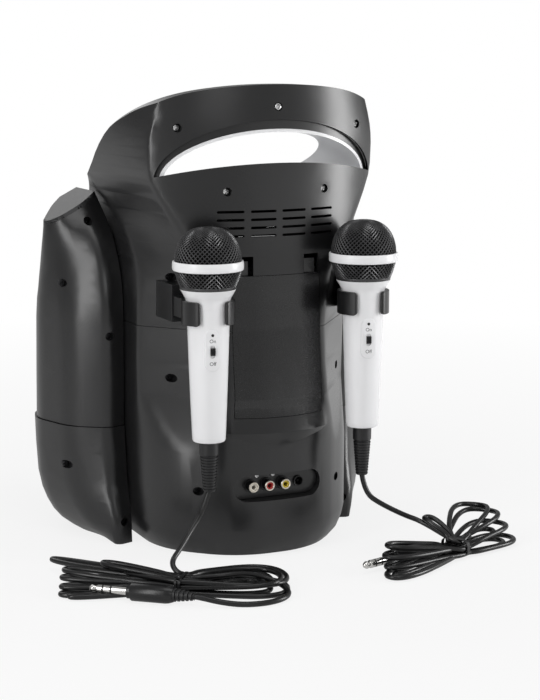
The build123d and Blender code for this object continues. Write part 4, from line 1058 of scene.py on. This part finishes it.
@dataclass
class MicCord:
    """A microphone lead: its run down from the microphone, its tied hank and its plug."""

    side: Side
    route: Sequence[Point]
    tie: Point
    run: Tuple[float, float]
    slots: Sequence[Tuple[float, int]]
    near_lobes: Sequence[Bend]
    far_lobes: Sequence[Bend]
    tail: Sequence[Point]
    length: float
    diameter: float = 4.2
    pitch: float = 4.4
    low: float = 3.9
    shares: Tuple[float, ...] = (0.2, 0.44, 0.7, 0.9, 1.0)
    widths: Tuple[float, ...] = (0.42, 0.8, 1.0, 0.84, 0.34)
    fan_out: float = 0.5
    climb: float = 1.05
    floor_gap: float = 0.3
    through_half: float = 5.0
    play: float = 0.5
    wraps: Tuple[float, ...] = (-1.2, 1.1)
    wrap_half: float = 0.9
    wrap_thick: float = 0.8
    wrap_steps: int = 40
    wrap_corner: float = 0.55
    wrap_lean: float = 1.1
    wire_radius: float = 0.6
    wire_turns: float = 2.5

    @property
    def across(self) -> Vector:
        """Level direction across the hank at the tie, towards the rear."""
        level = Vector((-self.run[1], self.run[0])).normalized()
        return level if level.y > 0 else -level

    def slot(self, index: int) -> Vector:
        """Where a strand passes through the tie."""
        share, layer = self.slots[index]
        level = Vector(self.tie[:2]) + self.across * share * self.pitch
        return Vector((level.x, level.y, self.low + layer * self.pitch))

    def lobe(self, leaving: int, coming: int, bend: Bend) -> List[Point]:
        """Points of one lobe.

        Args:
            leaving: the strand that it starts from.
            coming: the strand that it returns to.
            bend: its tip and opening.

        Returns:
            The control points between the two strands.
        """
        start, end = self.slot(leaving), self.slot(coming)
        centre = Vector(self.tie[:2])
        reach = Vector(bend.tip[:2]) - centre
        level = Vector((-reach.y, reach.x)).normalized()
        sense = 1.0 if (start - end).xy.dot(level) > 0 else -1.0
        points: List[Point] = []
        legs = [(share, width, 1.0) for share, width in zip(self.shares, self.widths)]
        legs += [(share, width, -1.0) for share, width, _ in reversed(legs)]
        for share, width, leg in legs:
            strand = start if leg > 0 else end
            hold = max(0.0, 1.0 - share / self.fan_out)
            offset = (strand.xy - centre).dot(level) * hold + sense * leg * bend.half * width
            offset += bend.bow * 4.0 * share * (1.0 - share)
            flat = centre + reach * share + level * offset
            blend = min(1.0, share * self.climb)
            height = strand.z * (1.0 - blend) + bend.tip[2] * blend
            height += bend.rise * 4.0 * share * (1.0 - share)
            points.append((flat.x, flat.y, max(height, self.diameter / 2 + self.floor_gap)))
        return points

    def through(self, index: int) -> List[Point]:
        """Two points that carry a strand straight through the tie."""
        middle = self.slot(index)
        sense = 1.0 if index % 2 == 0 else -1.0
        step = Vector((*self.run, 0.0)).normalized() * (self.through_half * sense)
        return [tuple(middle - step), tuple(middle + step)]

    def points(self) -> List[Point]:
        """All control points of the lead, in millimetres."""
        line = list(self.route[:-1])
        for index in range(len(self.slots)):
            line += self.through(index)
            if index == len(self.slots) - 1:
                break
            lobes = self.far_lobes if index % 2 == 0 else self.near_lobes
            line += self.lobe(index, index + 1, lobes[index // 2])
        return line + list(self.tail)

    def build(self) -> bpy.types.Object:
        points = self.points()
        name = self.side.label
        data = bpy.data.curves.new(name + "_lead", "CURVE")
        data.dimensions = "3D"
        spline = data.splines.new("NURBS")
        spline.points.add(len(points) - 1)
        for place, point in zip(spline.points, points):
            place.co = (point[0] * MM, point[1] * MM, point[2] * MM, 1.0)
        spline.order_u = 3
        spline.use_endpoint_u = True
        data.resolution_u = 5
        data.bevel_depth = self.diameter / 2 * MM
        data.bevel_resolution = 3
        data.use_fill_caps = True
        made = linked(name + "_lead", data, JACKET)
        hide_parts(name + "_cord", name + "_hank")
        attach(made, "cabinet")
        return made

    def wrap(self) -> bpy.types.Object:
        """Make the tie round the hank."""
        used = [self.slot(index) for index in range(len(self.slots))]
        spread = max(abs(Vector(p.xy - Vector(self.tie[:2])).dot(self.across)) for p in used)
        half = spread + self.diameter / 2 + self.play
        low = self.low - self.diameter / 2 - self.play
        high = max(p.z for p in used) + self.diameter / 2 + self.play
        run, across, up = Vector((*self.run, 0.0)).normalized(), Vector((*self.across, 0.0)), Vector(UPRIGHT)
        wide, thick = self.wrap_half, self.wrap_thick
        pieces = []
        for number, shift in enumerate(self.wraps):
            verts: List[Point] = []
            lean = 1 if number else -1
            for cosine, sine in circle(self.wrap_steps):
                aside, above = (
                    math.copysign(abs(share) ** self.wrap_corner, share) for share in (cosine, sine)
                )
                away = (across * cosine + up * sine).normalized()
                base = Vector((self.tie[0], self.tie[1], (low + high) / 2))
                base += run * (shift + self.wrap_lean * sine * lean)
                base += across * aside * half + up * above * (high - low) / 2
                for along, rise in ((-wide, 0.0), (wide, 0.0), (wide, thick), (-wide, thick)):
                    verts.append(tuple((base + run * along + away * rise) * MM))
            pieces.append(solid("wrap", verts, skin(self.wrap_steps, 4, closed=True), SLEEVE))
        if len(self.wraps) > 1:
            pieces += self.twisted_ends(high, run, across)
        made = joined(self.side.label + "_tie_wrap", pieces)
        outward(made)
        shade(made, Smoothness.SOFT)
        return stand_for(made, "cabinet", self.side.label + "_tie")

    def twisted_ends(self, high: float, run: Vector, across: Vector) -> List[bpy.types.Object]:
        """The two ends of a wire tie, twisted together and splayed.

        Args:
            high: top of the hank.
            run: direction of its strands.
            across: level direction across them.

        Returns:
            Both ends.
        """
        pieces = []
        steps, up = 21, Vector(UPRIGHT)
        root = Vector((self.tie[0], self.tie[1], high)) + across * 4.0
        for phase in (0.0, math.pi):
            line = []
            for step in range(steps + 1):
                share = step / steps
                swing = 1.1 + 3.2 * max(0.0, share - 0.7)
                angle = phase + share * self.wire_turns * 2.0 * math.pi
                line.append(
                    root
                    + up * share * 1.6
                    + across * (share * 9.0 + math.cos(angle) * 0.3)
                    + run * math.cos(angle) * swing
                    + up * math.sin(angle) * 0.8
                )
            pieces.append(tube("end", line, self.wire_radius, 8, SLEEVE))
        return pieces


@dataclass
class JackPlug:
    """A stereo jack plug with a moulded barrel and a ribbed sleeve."""

    side: Side
    tip: Point
    run: Tuple[float, float]
    pin_radius: float = 3.17
    pin_length: float = 30.0
    ring_starts: Tuple[float, ...] = (10.6, 17.0)
    ring_width: float = 1.3
    ring_depth: float = 0.25
    barrel_radius: float = 7.0
    barrel_length: float = 36.0
    relief_length: float = 16.0
    relief_end: float = 3.0
    rib_depth: float = 1.1
    ribs: int = 5

    def lathe(self, profile: Profile, finish: Finish, around: int, *look: Smoothness) -> bpy.types.Object:
        """One body of revolution on the plug's axis."""
        return turned("jack", profile, self.tip, (*self.run, 0.0), finish, around, *look)

    def pin(self) -> List[bpy.types.Object]:
        """The plated pin and its two insulating rings."""
        pin = self.pin_radius
        profile = [(0, 0), (1.0, 0.15), (1.9, 0.9), (2.9, 2.7), (2.95, 3.6), (2.5, 4.8), (2.1, 5.8),
                   (2.3, 6.3), (pin, 7.0)]
        rings = []
        for start in self.ring_starts:
            end, groove = start + self.ring_width, pin - self.ring_depth
            profile += [(pin, start), (groove, start), (groove, end), (pin, end)]
            ring = [(pin - 0.3, start), (pin - 0.06, start), (pin - 0.06, end), (pin - 0.3, end)]
            rings.append(self.lathe(ring, INNER_BLACK_AND_SHADE, 48, Smoothness.CRISP))
        profile += [(pin, self.pin_length + 1.0), (0, self.pin_length + 1.0)]
        return [self.lathe(profile, NICKEL, 48), *rings]

    def barrel(self) -> bpy.types.Object:
        """The moulded barrel."""
        big, start, end = self.barrel_radius, self.pin_length, self.pin_length + self.barrel_length
        profile = [(0, start), (4.6, start), (5.4, start + 0.4), (5.5, start + 3.0), (big - 0.5, start + 3.4),
                   (big, start + 4.2), (big, end - 6.0), (big - 0.35, end - 3.4), (big - 1.1, end - 1.0),
                   (big - 1.5, end), (0, end)]
        return self.lathe(profile, CLIP, 56)

    def sleeve(self) -> bpy.types.Object:
        """The ribbed sleeve that the lead leaves by."""
        start, end = self.pin_length + self.barrel_length, self.barrel_radius - 1.9
        profile = [(0.0, start - 0.5), (end, start - 0.5)]
        pitch = self.relief_length / self.ribs
        for rib in range(self.ribs):
            here = start + self.relief_length * rib / self.ribs
            radius = end + (self.relief_end - end) * rib / self.ribs
            profile += [(radius, here + 0.1), (radius, here + pitch * 0.5),
                        (radius - self.rib_depth, here + pitch * 0.62),
                        (radius - self.rib_depth, here + pitch * 0.92)]
        last = start + self.relief_length
        profile += [(self.relief_end, last - 0.2), (2.2, last), (0, last)]
        return self.lathe(profile, SLEEVE, 40, Smoothness.CRISP)

    def build(self) -> bpy.types.Object:
        """Make the plug as one piece."""
        pieces = [*self.pin(), self.barrel(), self.sleeve()]
        return stand_for(joined(self.side.label + "_jack", pieces), "cabinet", self.side.label + "_plug")


LEFT_CORD = MicCord(
    side=Side.LEFT,
    route=((66.5, 100, 64.3), (72.5, 102, 49.5), (86, 109, 36.5), (99, 120, 27), (111, 129, 19.5),
           (123, 131.5, 16.5)),
    tie=(110.0, 148.0, 0.0),
    run=(-34.0, 27.0),
    slots=((-2, 2), (2, 2), (-1, 2), (2, 1), (-2, 1), (1, 1), (-1, 1), (0, 1),
           (-2, 0), (2, 0), (-1, 0), (1, 0), (0, 0), (1, 2), (0, 2)),
    far_lobes=(
        Bend((29, 156, 8), 26, -3), Bend((37, 166, 10), 22), Bend((42, 158, 7), 18, 2),
        Bend((52, 150, 7), 10),
        Bend((34, 172, 2.6), 23), Bend((46, 168, 2.6), 15), Bend((56, 170, 8), 10),
    ),
    near_lobes=(
        Bend((177, 47, 9), 5, 2), Bend((181, 88, 12), 7, 2), Bend((186, 97, 9), 6),
        Bend((191, 110, 6), 6, -1),
        Bend((194, 117, 2.6), 7), Bend((190, 126, 2.6), 4), Bend((153, 96, 16), 4.5),
    ),
    tail=((84, 164, 15.5), (66, 164, 15.5), (50, 167, 11), (40, 176, 6.5), (39, 188, 3.2), (49, 198, 2.5),
          (66, 202, 2.4), (84, 198, 2.6), (98, 189, 4.2), (108, 181.4, 6.5), (112.5, 177.8, 7.05),
          (120, 171.4, 7.05)),
    length=2.75,
)
RIGHT_CORD = MicCord(
    side=Side.RIGHT,
    route=((-66.5, 100, 64.3), (-68.5, 102, 48.3), (-80, 108, 39.5), (-100, 111.5, 28.6),
           (-112, 118, 24.0), (-124, 112, 19.5)),
    tie=(-127.0, 147.0, 0.0),
    run=(-33.0, -21.0),
    slots=((1, 2), (-1, 2), (0, 2), (-2, 1), (2, 1), (-1, 1), (1, 1), (0, 1),
           (2, 0), (-2, 0), (1, 0), (-1, 0), (0, 0)),
    far_lobes=(
        Bend((-171, 103, 28), 15, 0, 4), Bend((-176, 112, 25), 17, 0, 3), Bend((-182, 121, 16), 16, 0, 2),
        Bend((-172, 125, 12), 9), Bend((-190, 124, 4), 15), Bend((-180, 127, 2.6), 11),
    ),
    near_lobes=(
        Bend((-113, 122, 28), 5, 0, 2), Bend((-64, 150, 17), 9), Bend((-55, 164, 13), 10),
        Bend((-52, 172, 7), 8), Bend((-48, 184, 3), 12), Bend((-54, 180, 2.6), 5),
    ),
    tail=((-146, 135, 2.6), (-158, 125, 2.5), (-163, 114, 2.5), (-156, 107, 2.5), (-146, 111, 2.5),
          (-140, 121, 3.0), (-133, 130, 5.0), (-124, 135.3, 6.8), (-116, 137.7, 7.05), (-108, 139.9, 7.05)),
    length=1.9,
    wraps=(0.0,),
    wrap_half=2.2,
    wrap_thick=0.45,
)
PLUGS = (
    JackPlug(Side.LEFT, (174.5, 125.3, 7.05), (-0.763, 0.646)),
    JackPlug(Side.RIGHT, (-37.0, 160.0, 7.05), (-0.962, -0.272)),
)


def build_cords() -> None:
    """Make both leads with their ties and plugs."""
    for lead, plug in ((LEFT_CORD, PLUGS[0]), (RIGHT_CORD, PLUGS[1])):
        cord = lead.build()
        jack = plug.build()
        wrap = lead.wrap()
        LOG.info("laid %s with %d strands", cord.name, len(lead.slots))


# ------------------------------------------------------------------ shells
@dataclass
class Cabinet:
    """The moulded shells, the handle, the feet and the battery bay."""

    shells: Tuple[str, ...] = ("rear_cover_lower", "rear_cover_upper", "front_shell", "handle_bezel")

    def build(self) -> None:
        """Dress the shells."""
        for node in self.shells:
            carried(node, BODY, even=True)
        carried("base_plate", BODY)
        carried("rubber_feet", FOOT)
        carried("hood_liner", LINER, even=True)
        carried("battery_box", INNER_BLACK_AND_SHADE)
        carried("battery_door", DOOR, "battery_door", Smoothness.CRISP)
        carried("circuit_boards", PCB)


@dataclass
class Pods:
    """The two side pods with their caps, lamps and small speakers."""

    shells: Tuple[str, ...] = ("_pod_shell", "_pod_boot")

    def build(self) -> None:
        """Dress the pods."""
        for side in Side:
            for shell in self.shells:
                carried(side.label + shell, BODY, even=True)
        carried("pod_caps", CAP)
        carried("pod_lenses", LENS)
        carried("pod_speakers", GRILLE)


@dataclass
class DiscDrive:
    """The deck, the disc well with its lid, the spindle and the laser sled."""

    def build(self) -> None:
        """Dress the drive."""
        carried("top_deck", DECK)
        carried("disc_well", INNER_BLACK_AND_SHADE)
        carried("disc_lid", DECK, "lid")
        carried("lid_window", WINDOW, "lid")
        carried("spindle_hub", CLIP, "spindle")
        carried("spindle_motor", STEEL)
        carried("laser_sled", INNER_BLACK_AND_SHADE, "sled")
        carried("sled_rails", STEEL)


@dataclass
class FrontControls:
    """Speaker, display, buttons, knobs and microphone sockets on the front."""

    numbers: Tuple[str, ...] = ("one", "two", "three", "four")

    def build(self) -> None:
        """Dress the front."""
        carried("speaker_driver", INNER_BLACK_AND_SHADE)
        carried("speaker_ring", CLIP)
        carried("speaker_grille", GRILLE)
        carried("control_panel", CLIP)
        carried("display_window", DISPLAY)
        carried("mic_sockets", CLIP)
        for index, number in enumerate(self.numbers):
            carried(f"button_{index + 1}", CAP, "button_" + number)
        for side in Side:
            carried(side.label + "_knob", CAP, "knob_" + side.label)


# ------------------------------------------------------------------ rear socket panel
@dataclass
class SocketPanel:
    """The recessed plate with three phono sockets and a power socket."""

    face_y: float = 76.0
    height_z: float = 58.0
    places: Tuple[float, ...] = (21.0, 7.0, -7.0)
    barrel: float = 4.15
    flange: float = 5.45
    depth: float = 8.0
    bore: float = 1.74
    wall: float = 1.15

    def socket(self, name: str, x: float, ring: Finish) -> bpy.types.Object:
        """One phono socket: a bright barrel round a coloured insulator.

        Args:
            name: the piece's name.
            x: where it stands.
            ring: the insulator's finish.

        Returns:
            The joined socket.
        """
        barrel, flange, depth, bore = self.barrel, self.flange, self.depth, self.bore
        rim = barrel - self.wall
        shell = [(flange, 0.0), (flange, 0.7), (flange - 0.25, 0.95), (barrel + 0.05, 0.95), (barrel, 1.2),
                 (barrel, depth - 1.3)]
        collar = [(barrel, depth - 1.3), (barrel + 0.02, depth - 0.35), (barrel - 0.3, depth),
                  (rim + 0.2, depth), (rim, depth - 0.2), (rim, depth - 1.4)]
        core = [(rim, depth - 2.0), (rim, depth - 0.75), (rim - 0.2, depth - 0.55),
                (bore + 0.25, depth - 0.55), (bore, depth - 0.8), (bore, depth - 5.0)]
        well = [(bore, depth - 5.0), (bore * 0.5, depth - 5.05), (0.0, depth - 5.05)]
        base = (x, self.face_y, self.height_z)
        layers = ((shell, CLIP, 48), (collar, COLLAR, 48), (core, ring, 48), (well, INNER_BLACK_AND_SHADE, 24))
        return joined(name, [turned("layer", line, base, REARWARD, *look) for line, *look in layers])

    def build(self) -> None:
        """Make the sockets and dress the plate."""
        carried("av_plate", BODY)
        carried("dc_jack", CLIP)
        rings = (JACK_WHITE, JACK_RED, JACK_YELLOW)
        sockets = [self.socket(f"phono_{n}", x, ring) for n, (x, ring) in enumerate(zip(self.places, rings))]
        stand_for(joined("phono_sockets", sockets), "cabinet", "rca_jacks")


# ------------------------------------------------------------------ microphones
def smooth_profile(profile: Profile, per: int) -> List[Tuple[float, float]]:
    """A finer profile whose line runs smoothly through the given points.

    Args:
        profile: (radius, height) pairs.
        per: new points for each old run.

    Returns:
        The finer profile.
    """
    out: List[Tuple[float, float]] = []
    for index in range(len(profile) - 1):
        quad = [profile[max(0, min(len(profile) - 1, index + k))] for k in (-1, 0, 1, 2)]
        for step in range(per):
            t = step / per
            out.append(tuple(spline_between(*values, t) for values in zip(*quad)))
    return out + [tuple(profile[-1])]


def spline_between(a: float, b: float, c: float, d: float, t: float) -> float:
    """The value at a share t of the way from b to c, on a Catmull-Rom spline through all four."""
    return 0.5 * (2 * b + (c - a) * t + (2 * a - 5 * b + 4 * c - d) * t * t + (3 * b - a - 3 * c + d) * t**3)


@dataclass
class Microphone:
    """A handheld microphone standing in its clip."""

    side: Side
    reach_x: float = 66.5
    y: float = 100.0
    bottom: float = 103.5
    turn: float = -11.5
    neck: Tuple[Tuple[float, float], ...] = (
        (12.9, 105.0), (14.5, 143.0), (16.4, 200.0), (16.8, 208.0), (17.3, 213.7), (19.0, 217.2),
        (21.4, 221.4),
    )
    ball: Tuple[Tuple[float, float], ...] = (
        (20.9, 221.8), (23.6, 228.5), (25.6, 236.0), (25.8, 240.0), (25.7, 244.0), (25.2, 249.0),
        (23.0, 256.0), (18.6, 262.4), (12.0, 266.7), (5.0, 268.2),
    )
    wires: int = 44
    wire_radius: float = 0.4
    wire_waist: float = 13.0
    plate_z: float = 176.5
    plate_y: float = 16.3
    plate_half: float = 6.0
    plate_tall: float = 16.25
    plate_root: float = 11.0
    slot_half: float = 1.8
    slot_tall: float = 4.9
    lamp_rise: float = 11.6
    words: Tuple[Tuple[str, float], ...] = (("On", 7.0), ("Off", -10.4))
    letter_size: float = 3.9
    letter_depth: float = 0.03
    switch_half: float = 1.9
    switch_tall: float = 2.85
    switch_root: float = 15.0
    switch_drop: float = 1.0
    relief_length: float = 40.0
    relief_ribs: int = 12

    @property
    def foot(self) -> Point:
        """Where the axis meets the floor."""
        return (self.reach_x * self.side.value, self.y, 0.0)

    def lathe(
        self, name: str, profile: Profile, finish: Finish, around: int, *look: Smoothness
    ) -> bpy.types.Object:
        """One body of revolution on the microphone's axis."""
        return turned(name, profile, self.foot, UPRIGHT, finish, around, *look)

    def body(self) -> bpy.types.Object:
        """The tapered white body."""
        profile = [(0.0, self.bottom), (11.6, self.bottom), (12.3, self.bottom + 0.3)]
        profile += smooth_profile(self.neck, 8)
        profile += [(21.4, 221.6), (19.5, 221.6), (0.0, 221.6)]
        made = self.lathe(self.side.label + "_mic_handle", profile, WHITE, 96)
        return stand_for(made, "cabinet", self.side.label + "_mic_body")

    def wire(self, sense: float) -> bpy.types.Object:
        """One wire of the ball, running up it at a slant about the origin.

        Args:
            sense: which way it slants, as a sign.

        Returns:
            The wire.
        """
        line: List[Point] = []
        profile = smooth_profile(self.ball, 3)
        angle = 0.0
        last = profile[0]
        for radius, height in profile:
            angle += sense * math.hypot(radius - last[0], height - last[1]) / max(radius, self.wire_waist)
            last = (radius, height)
            away = radius - self.wire_radius
            line.append((away * math.cos(angle), away * math.sin(angle), height))
        return tube("wire", line, self.wire_radius, 4, WIRE)

    def mesh_ball(self) -> bpy.types.Object:
        """The woven ball over its dark foam."""
        pair = joined(self.side.label + "_wires", [self.wire(1.0), self.wire(-1.0)])
        middle = (self.foot[0] * MM, self.foot[1] * MM, 0.0)
        ring_repeat(WIRE).run(pair, {"Count": self.wires, "Middle": middle}, WIRE)
        shade(pair, Smoothness.ROUND)
        inner = [(0.0, 221.7), *((r - 1.5, z - 0.3) for r, z in smooth_profile(self.ball, 3)), (0.0, 267.6)]
        crown = [(6.2, 267.2), (6.0, 268.1), (4.6, 268.45), (0.0, 268.5)]
        seat = [(20.2, 221.7), (21.2, 221.7), (21.8, 223.3), (21.5, 224.0), (20.6, 224.0), (20.2, 221.7)]
        pieces = [
            pair,
            self.lathe("foam", inner, FOAM, 48, Smoothness.ROUND),
            self.lathe("top", crown, WIRE, 32),
            self.lathe("rim", seat, WIRE, 64),
        ]
        made = joined(self.side.label + "_mic_ball", pieces)
        return stand_for(made, "cabinet", self.side.label + "_mic_grille")

    def band(self) -> bpy.types.Object:
        """The smooth band round the ball."""
        outer = [(25.5, 236.0), (26.5, 236.0), (27.0, 236.4), (27.3, 238.0), (27.3, 241.0), (27.0, 242.6),
                 (26.5, 243.0), (25.5, 243.0)]
        inner = [(25.3, 242.0), (25.3, 237.0), (25.5, 236.0)]
        return self.lathe("band_" + self.side.label, smooth_profile(outer, 3) + inner, WHITE, 96)

    def plate(self) -> bpy.types.Object:
        """The raised oval plate round the switch, with the slot that the switch slides in; the slot's deeper
        walls and floor carry painted shade.
        """
        z, face = self.plate_z, self.plate_y
        half, tall, slot = self.plate_half, self.plate_tall, z - self.switch_drop
        loops = [
            self.oval(z, half - inset, tall - inset, out)
            for inset, out in ((0.0, self.plate_root), (0.0, face - 0.7), (0.35, face - 0.2), (0.9, face))
        ]
        # The deeper walls and the floor of the slot take the dark inner finish: painted shade in the slot.
        dark = len(loops) + 1
        loops += [
            self.oval(slot, self.slot_half - inset, self.slot_tall - inset, face - depth)
            for inset, depth in ((0.0, 0.0), (0.05, 0.3), (0.1, 1.8))
        ]
        count = len(loops[0])
        faces = skin(len(loops), count, capped=True)
        made = solid("plate_" + self.side.label, [p for loop in loops for p in loop], faces, WHITE, INNER_BLACK_AND_SHADE)
        for index in (*range(dark * count, (dark + 1) * count), len(faces) - 1):
            made.data.polygons[index].material_index = 1
        outward(made)
        shade(made, Smoothness.SOFT)
        return made

    def spin(self, piece: bpy.types.Object) -> bpy.types.Object:
        """Turn a piece about the microphone's own axis.

        Args:
            piece: what is turned.

        Returns:
            The same piece.
        """
        middle = Matrix.Translation((self.foot[0] * MM, self.foot[1] * MM, 0.0))
        piece.data.transform(middle @ Matrix.Rotation(math.radians(self.turn), 4, "Z") @ middle.inverted())
        return piece

    def relief(self) -> bpy.types.Object:
        """The strain relief: a smooth collar over a row of fine ribs."""
        top, ribs, first, last = self.bottom, self.relief_ribs, 4.9, 6.9
        low = top - self.relief_length
        start, pitch = low + 0.8, (self.relief_length - 12.5) / ribs
        profile = [(0.0, low), (3.6, low), (first - 0.5, low + 0.3), (first - 0.5, start)]
        for rib in range(ribs):
            radius = first + (last - first) * rib / (ribs - 1)
            here = start + pitch * rib
            profile += [(radius, here + pitch * 0.1), (radius + 0.05, here + pitch * 0.6),
                        (radius - 0.75, here + pitch * 0.7), (radius - 0.72, here + pitch)]
        profile += [(7.0, top - 11.2), (7.35, top - 10.6), (7.5, top - 1.0), (7.5, top + 0.6),
                    (0.0, top + 0.6)]
        return self.lathe("relief_" + self.side.label, profile, SLEEVE, 48, Smoothness.CRISP)

    def oval(self, z: float, half: float, tall: float, out: float) -> List[Point]:
        """Points, in metres, round an upright oval with straight sides.

        Args:
            z: height of its middle.
            half: half its width.
            tall: half its height.
            out: how far it stands out from the microphone's axis.

        Returns:
            The points, in order.
        """
        points: List[Point] = []
        for cosine, sine in circle(48, 0.5):
            straight = (tall - half) * (1.0 if sine > 0 else -1.0)
            points.append(
                ((self.foot[0] + half * cosine) * MM, (self.y + out) * MM, (z + straight + half * sine) * MM)
            )
        return points

    def word(self, text: str, z: float) -> bpy.types.Object:
        """A small printed word on the plate.

        Args:
            text: what it says.
            z: its middle height.

        Returns:
            The word as a mesh.
        """
        data = bpy.data.curves.new("word", "FONT")
        data.body = text
        data.size = self.letter_size * MM
        data.align_x = "CENTER"
        data.align_y = "CENTER"
        data.extrude = self.letter_depth * MM
        holder = linked("word", data)
        mesh = evaluated_mesh(holder)
        bpy.data.objects.remove(holder)
        turn = Matrix.Rotation(math.pi, 4, "Z") @ Matrix.Rotation(math.pi / 2, 4, "X")
        place = Matrix.Translation((self.foot[0] * MM, (self.y + self.plate_y + 0.02) * MM, z * MM))
        mesh.transform(place @ turn)
        mesh.materials.clear()
        return linked("word_" + text.lower(), mesh, PRINT)

    def switch(self) -> bpy.types.Object:
        """The sliding thumb switch with three grip ribs."""
        x, z = self.foot[0], self.plate_z - self.switch_drop
        wide, tall = self.switch_half, self.switch_tall
        rows = [(-tall, 17.2), (-tall + 0.3, 17.7), (-1.5, 17.75), (-1.2, 17.35), (-0.9, 17.85),
                (-0.3, 17.85), (0.0, 17.35), (0.3, 17.85), (0.9, 17.85), (1.2, 17.35), (1.5, 17.75),
                (tall - 0.3, 17.7), (tall, 17.2)]
        root = [(rise, self.switch_root) for rise, _ in rows]
        verts = [
            ((x + edge) * MM, (self.y + out) * MM, (z + rise) * MM)
            for rise, out in rows + root
            for edge in (-wide, wide)
        ]
        low, last = len(rows) * 2, len(rows) * 2 - 2
        faces: Faces = []
        for a in range(0, last, 2):
            faces += [
                (a, a + 1, a + 3, a + 2),
                (low + a, low + a + 2, low + a + 3, low + a + 1),
                (a, a + 2, low + a + 2, low + a),
                (a + 1, low + a + 1, low + a + 3, a + 3),
            ]
        faces += [(0, low, low + 1, 1), (last, last + 1, low + last + 1, low + last)]
        made = solid(self.side.label + "_thumb_switch", verts, faces, CLIP)
        outward(made)
        shade(made, Smoothness.CRISP)
        return stand_for(self.spin(made), "switch_" + self.side.label, self.side.label + "_mic_switch")

    def build(self) -> Tuple[bpy.types.Object, List[bpy.types.Object], bpy.types.Object]:
        """Make the microphone and give its band, its plate pieces and its strain relief."""
        self.body()
        self.mesh_ball()
        self.switch()
        lens = [(1.1, 0.0), (1.1, 0.25), (0.7, 0.5), (0.0, 0.55)]
        place = (self.foot[0], self.y + self.plate_y - 0.05, self.plate_z + self.lamp_rise)
        lamp = turned("lamp", lens, place, REARWARD, INNER_BLACK_AND_SHADE, 20)
        words = [self.word(text, self.plate_z + rise) for text, rise in self.words]
        return self.band(), [self.spin(piece) for piece in (self.plate(), lamp, *words)], self.relief()


def build_microphones() -> None:
    """Make both microphones, their clips and their strain reliefs."""
    bands, plates, reliefs = [], [], []
    for side in Side:
        band, plate, relief = Microphone(side).build()
        bands.append(band)
        plates += plate
        reliefs.append(relief)
    stand_for(joined("ball_bands", bands), "cabinet", "mic_bands")
    stand_for(joined("switch_plates", plates), "cabinet", "mic_switch_plates")
    carried("mic_clips", CLIP, smoothness=Smoothness.CRISP, bevel=0.6)
    stand_for(joined("strain_reliefs", reliefs), "cabinet", "mic_reliefs")


# ------------------------------------------------------------------ screws
@dataclass
class ScrewSet:
    """Cross-head screws of one kind, seated at the bottom of their pockets."""

    name: str
    node: str
    finish: Finish
    seats: Sequence[Point]
    radius: float = 2.9
    height: float = 2.0
    seed: int = 3

    def head(self) -> bpy.types.Object:
        """One domed head with a cross recess, facing +Y about the origin."""
        arm, slot = self.radius * 0.62, self.radius * 0.17
        cross = [(slot, arm), (-slot, arm), (-slot, slot), (-arm, slot), (-arm, -slot), (-slot, -slot),
                 (-slot, -arm), (slot, -arm), (slot, -slot), (arm, -slot), (arm, slot), (slot, slot)]
        fine: List[Tuple[float, float]] = []
        for here, after in zip(cross, cross[1:] + cross[:1]):
            fine += [here, ((here[0] + after[0]) / 2, (here[1] + after[1]) / 2)]
        start = math.atan2(fine[0][1], fine[0][0])
        count = len(fine)
        verts: List[Point] = []
        for radius, rise in ((1.0, 0.0), (1.0, 0.45), (0.93, 0.72), (0.8, 0.93)):
            for step in range(count):
                angle = start + 2.0 * math.pi * step / count
                x, z = math.cos(angle) * radius * self.radius, math.sin(angle) * radius * self.radius
                verts.append((x * MM, rise * self.height * MM, z * MM))
        for share, rise in ((1.0, 1.0), (0.7, 0.4)):
            verts += [(x * share * MM, self.height * rise * MM, z * share * MM) for x, z in fine]
        last = len(verts) - count
        caps = [tuple(range(last, last + count)), tuple(range(count))]
        made = solid(self.name + "_head", verts, skin(len(verts) // count, count) + caps, self.finish)
        outward(made)
        return made

    def build(self) -> bpy.types.Object:
        """Seat a head in every pocket."""
        stamp = self.head()
        points = solid(self.name, [tuple(c * MM for c in seat) for seat in self.seats], [])
        seat_repeat(self.finish, stamp).run(points, {"Turn": math.pi / 2, "Seed": self.seed}, self.finish)
        bpy.data.objects.remove(stamp)
        shade(points, Smoothness.SOFT)
        return stand_for(points, "cabinet", *([self.node] if self.node else []))


def both(places: Sequence[Point]) -> List[Point]:
    """The places and their mirror images across the middle."""
    return [(side * x, y, z) for x, y, z in places for side in (1, -1)]


def build_screws() -> None:
    """Make the bright and the black screws."""
    bright = both([(76.8, 61.4, 341.5), (41.5, 75.5, 292.5)]) + [(0.0, 82.0, 357.0)]
    ScrewSet("bright_screws", "silver_screws", STEEL, bright).build()
    ScrewSet("panel_screws", "", STEEL, [(15.6, 76.0, 65.4), (1.3, 76.0, 65.4)], 1.8, 1.0, 5).build()
    black = both(
        [(73.5, 36.4, 224.0), (73.3, 33.0, 143.0), (61.0, 58.5, 55.0), (112.0, -53.0, 262.0),
         (136.0, -42.0, 213.0), (106.0, -16.5, 171.0), (136.0, -41.0, 63.0), (100.0, -6.5, 19.0)]
    )
    ScrewSet("black_screws", "cover_screws", DARK_STEEL, black, seed=8).build()


# ------------------------------------------------------------------ all together
def main() -> None:
    """Build every piece in order."""
    logging.basicConfig(level=logging.INFO, format="%(message)s")
    Studio().build()
    build_cords()
    for part in (Cabinet(), Pods(), DiscDrive(), FrontControls(), SocketPanel()):
        part.build()
        LOG.info("%s done", type(part).__name__)
    build_microphones()
    build_screws()


if __name__ == "__main__":
    main()
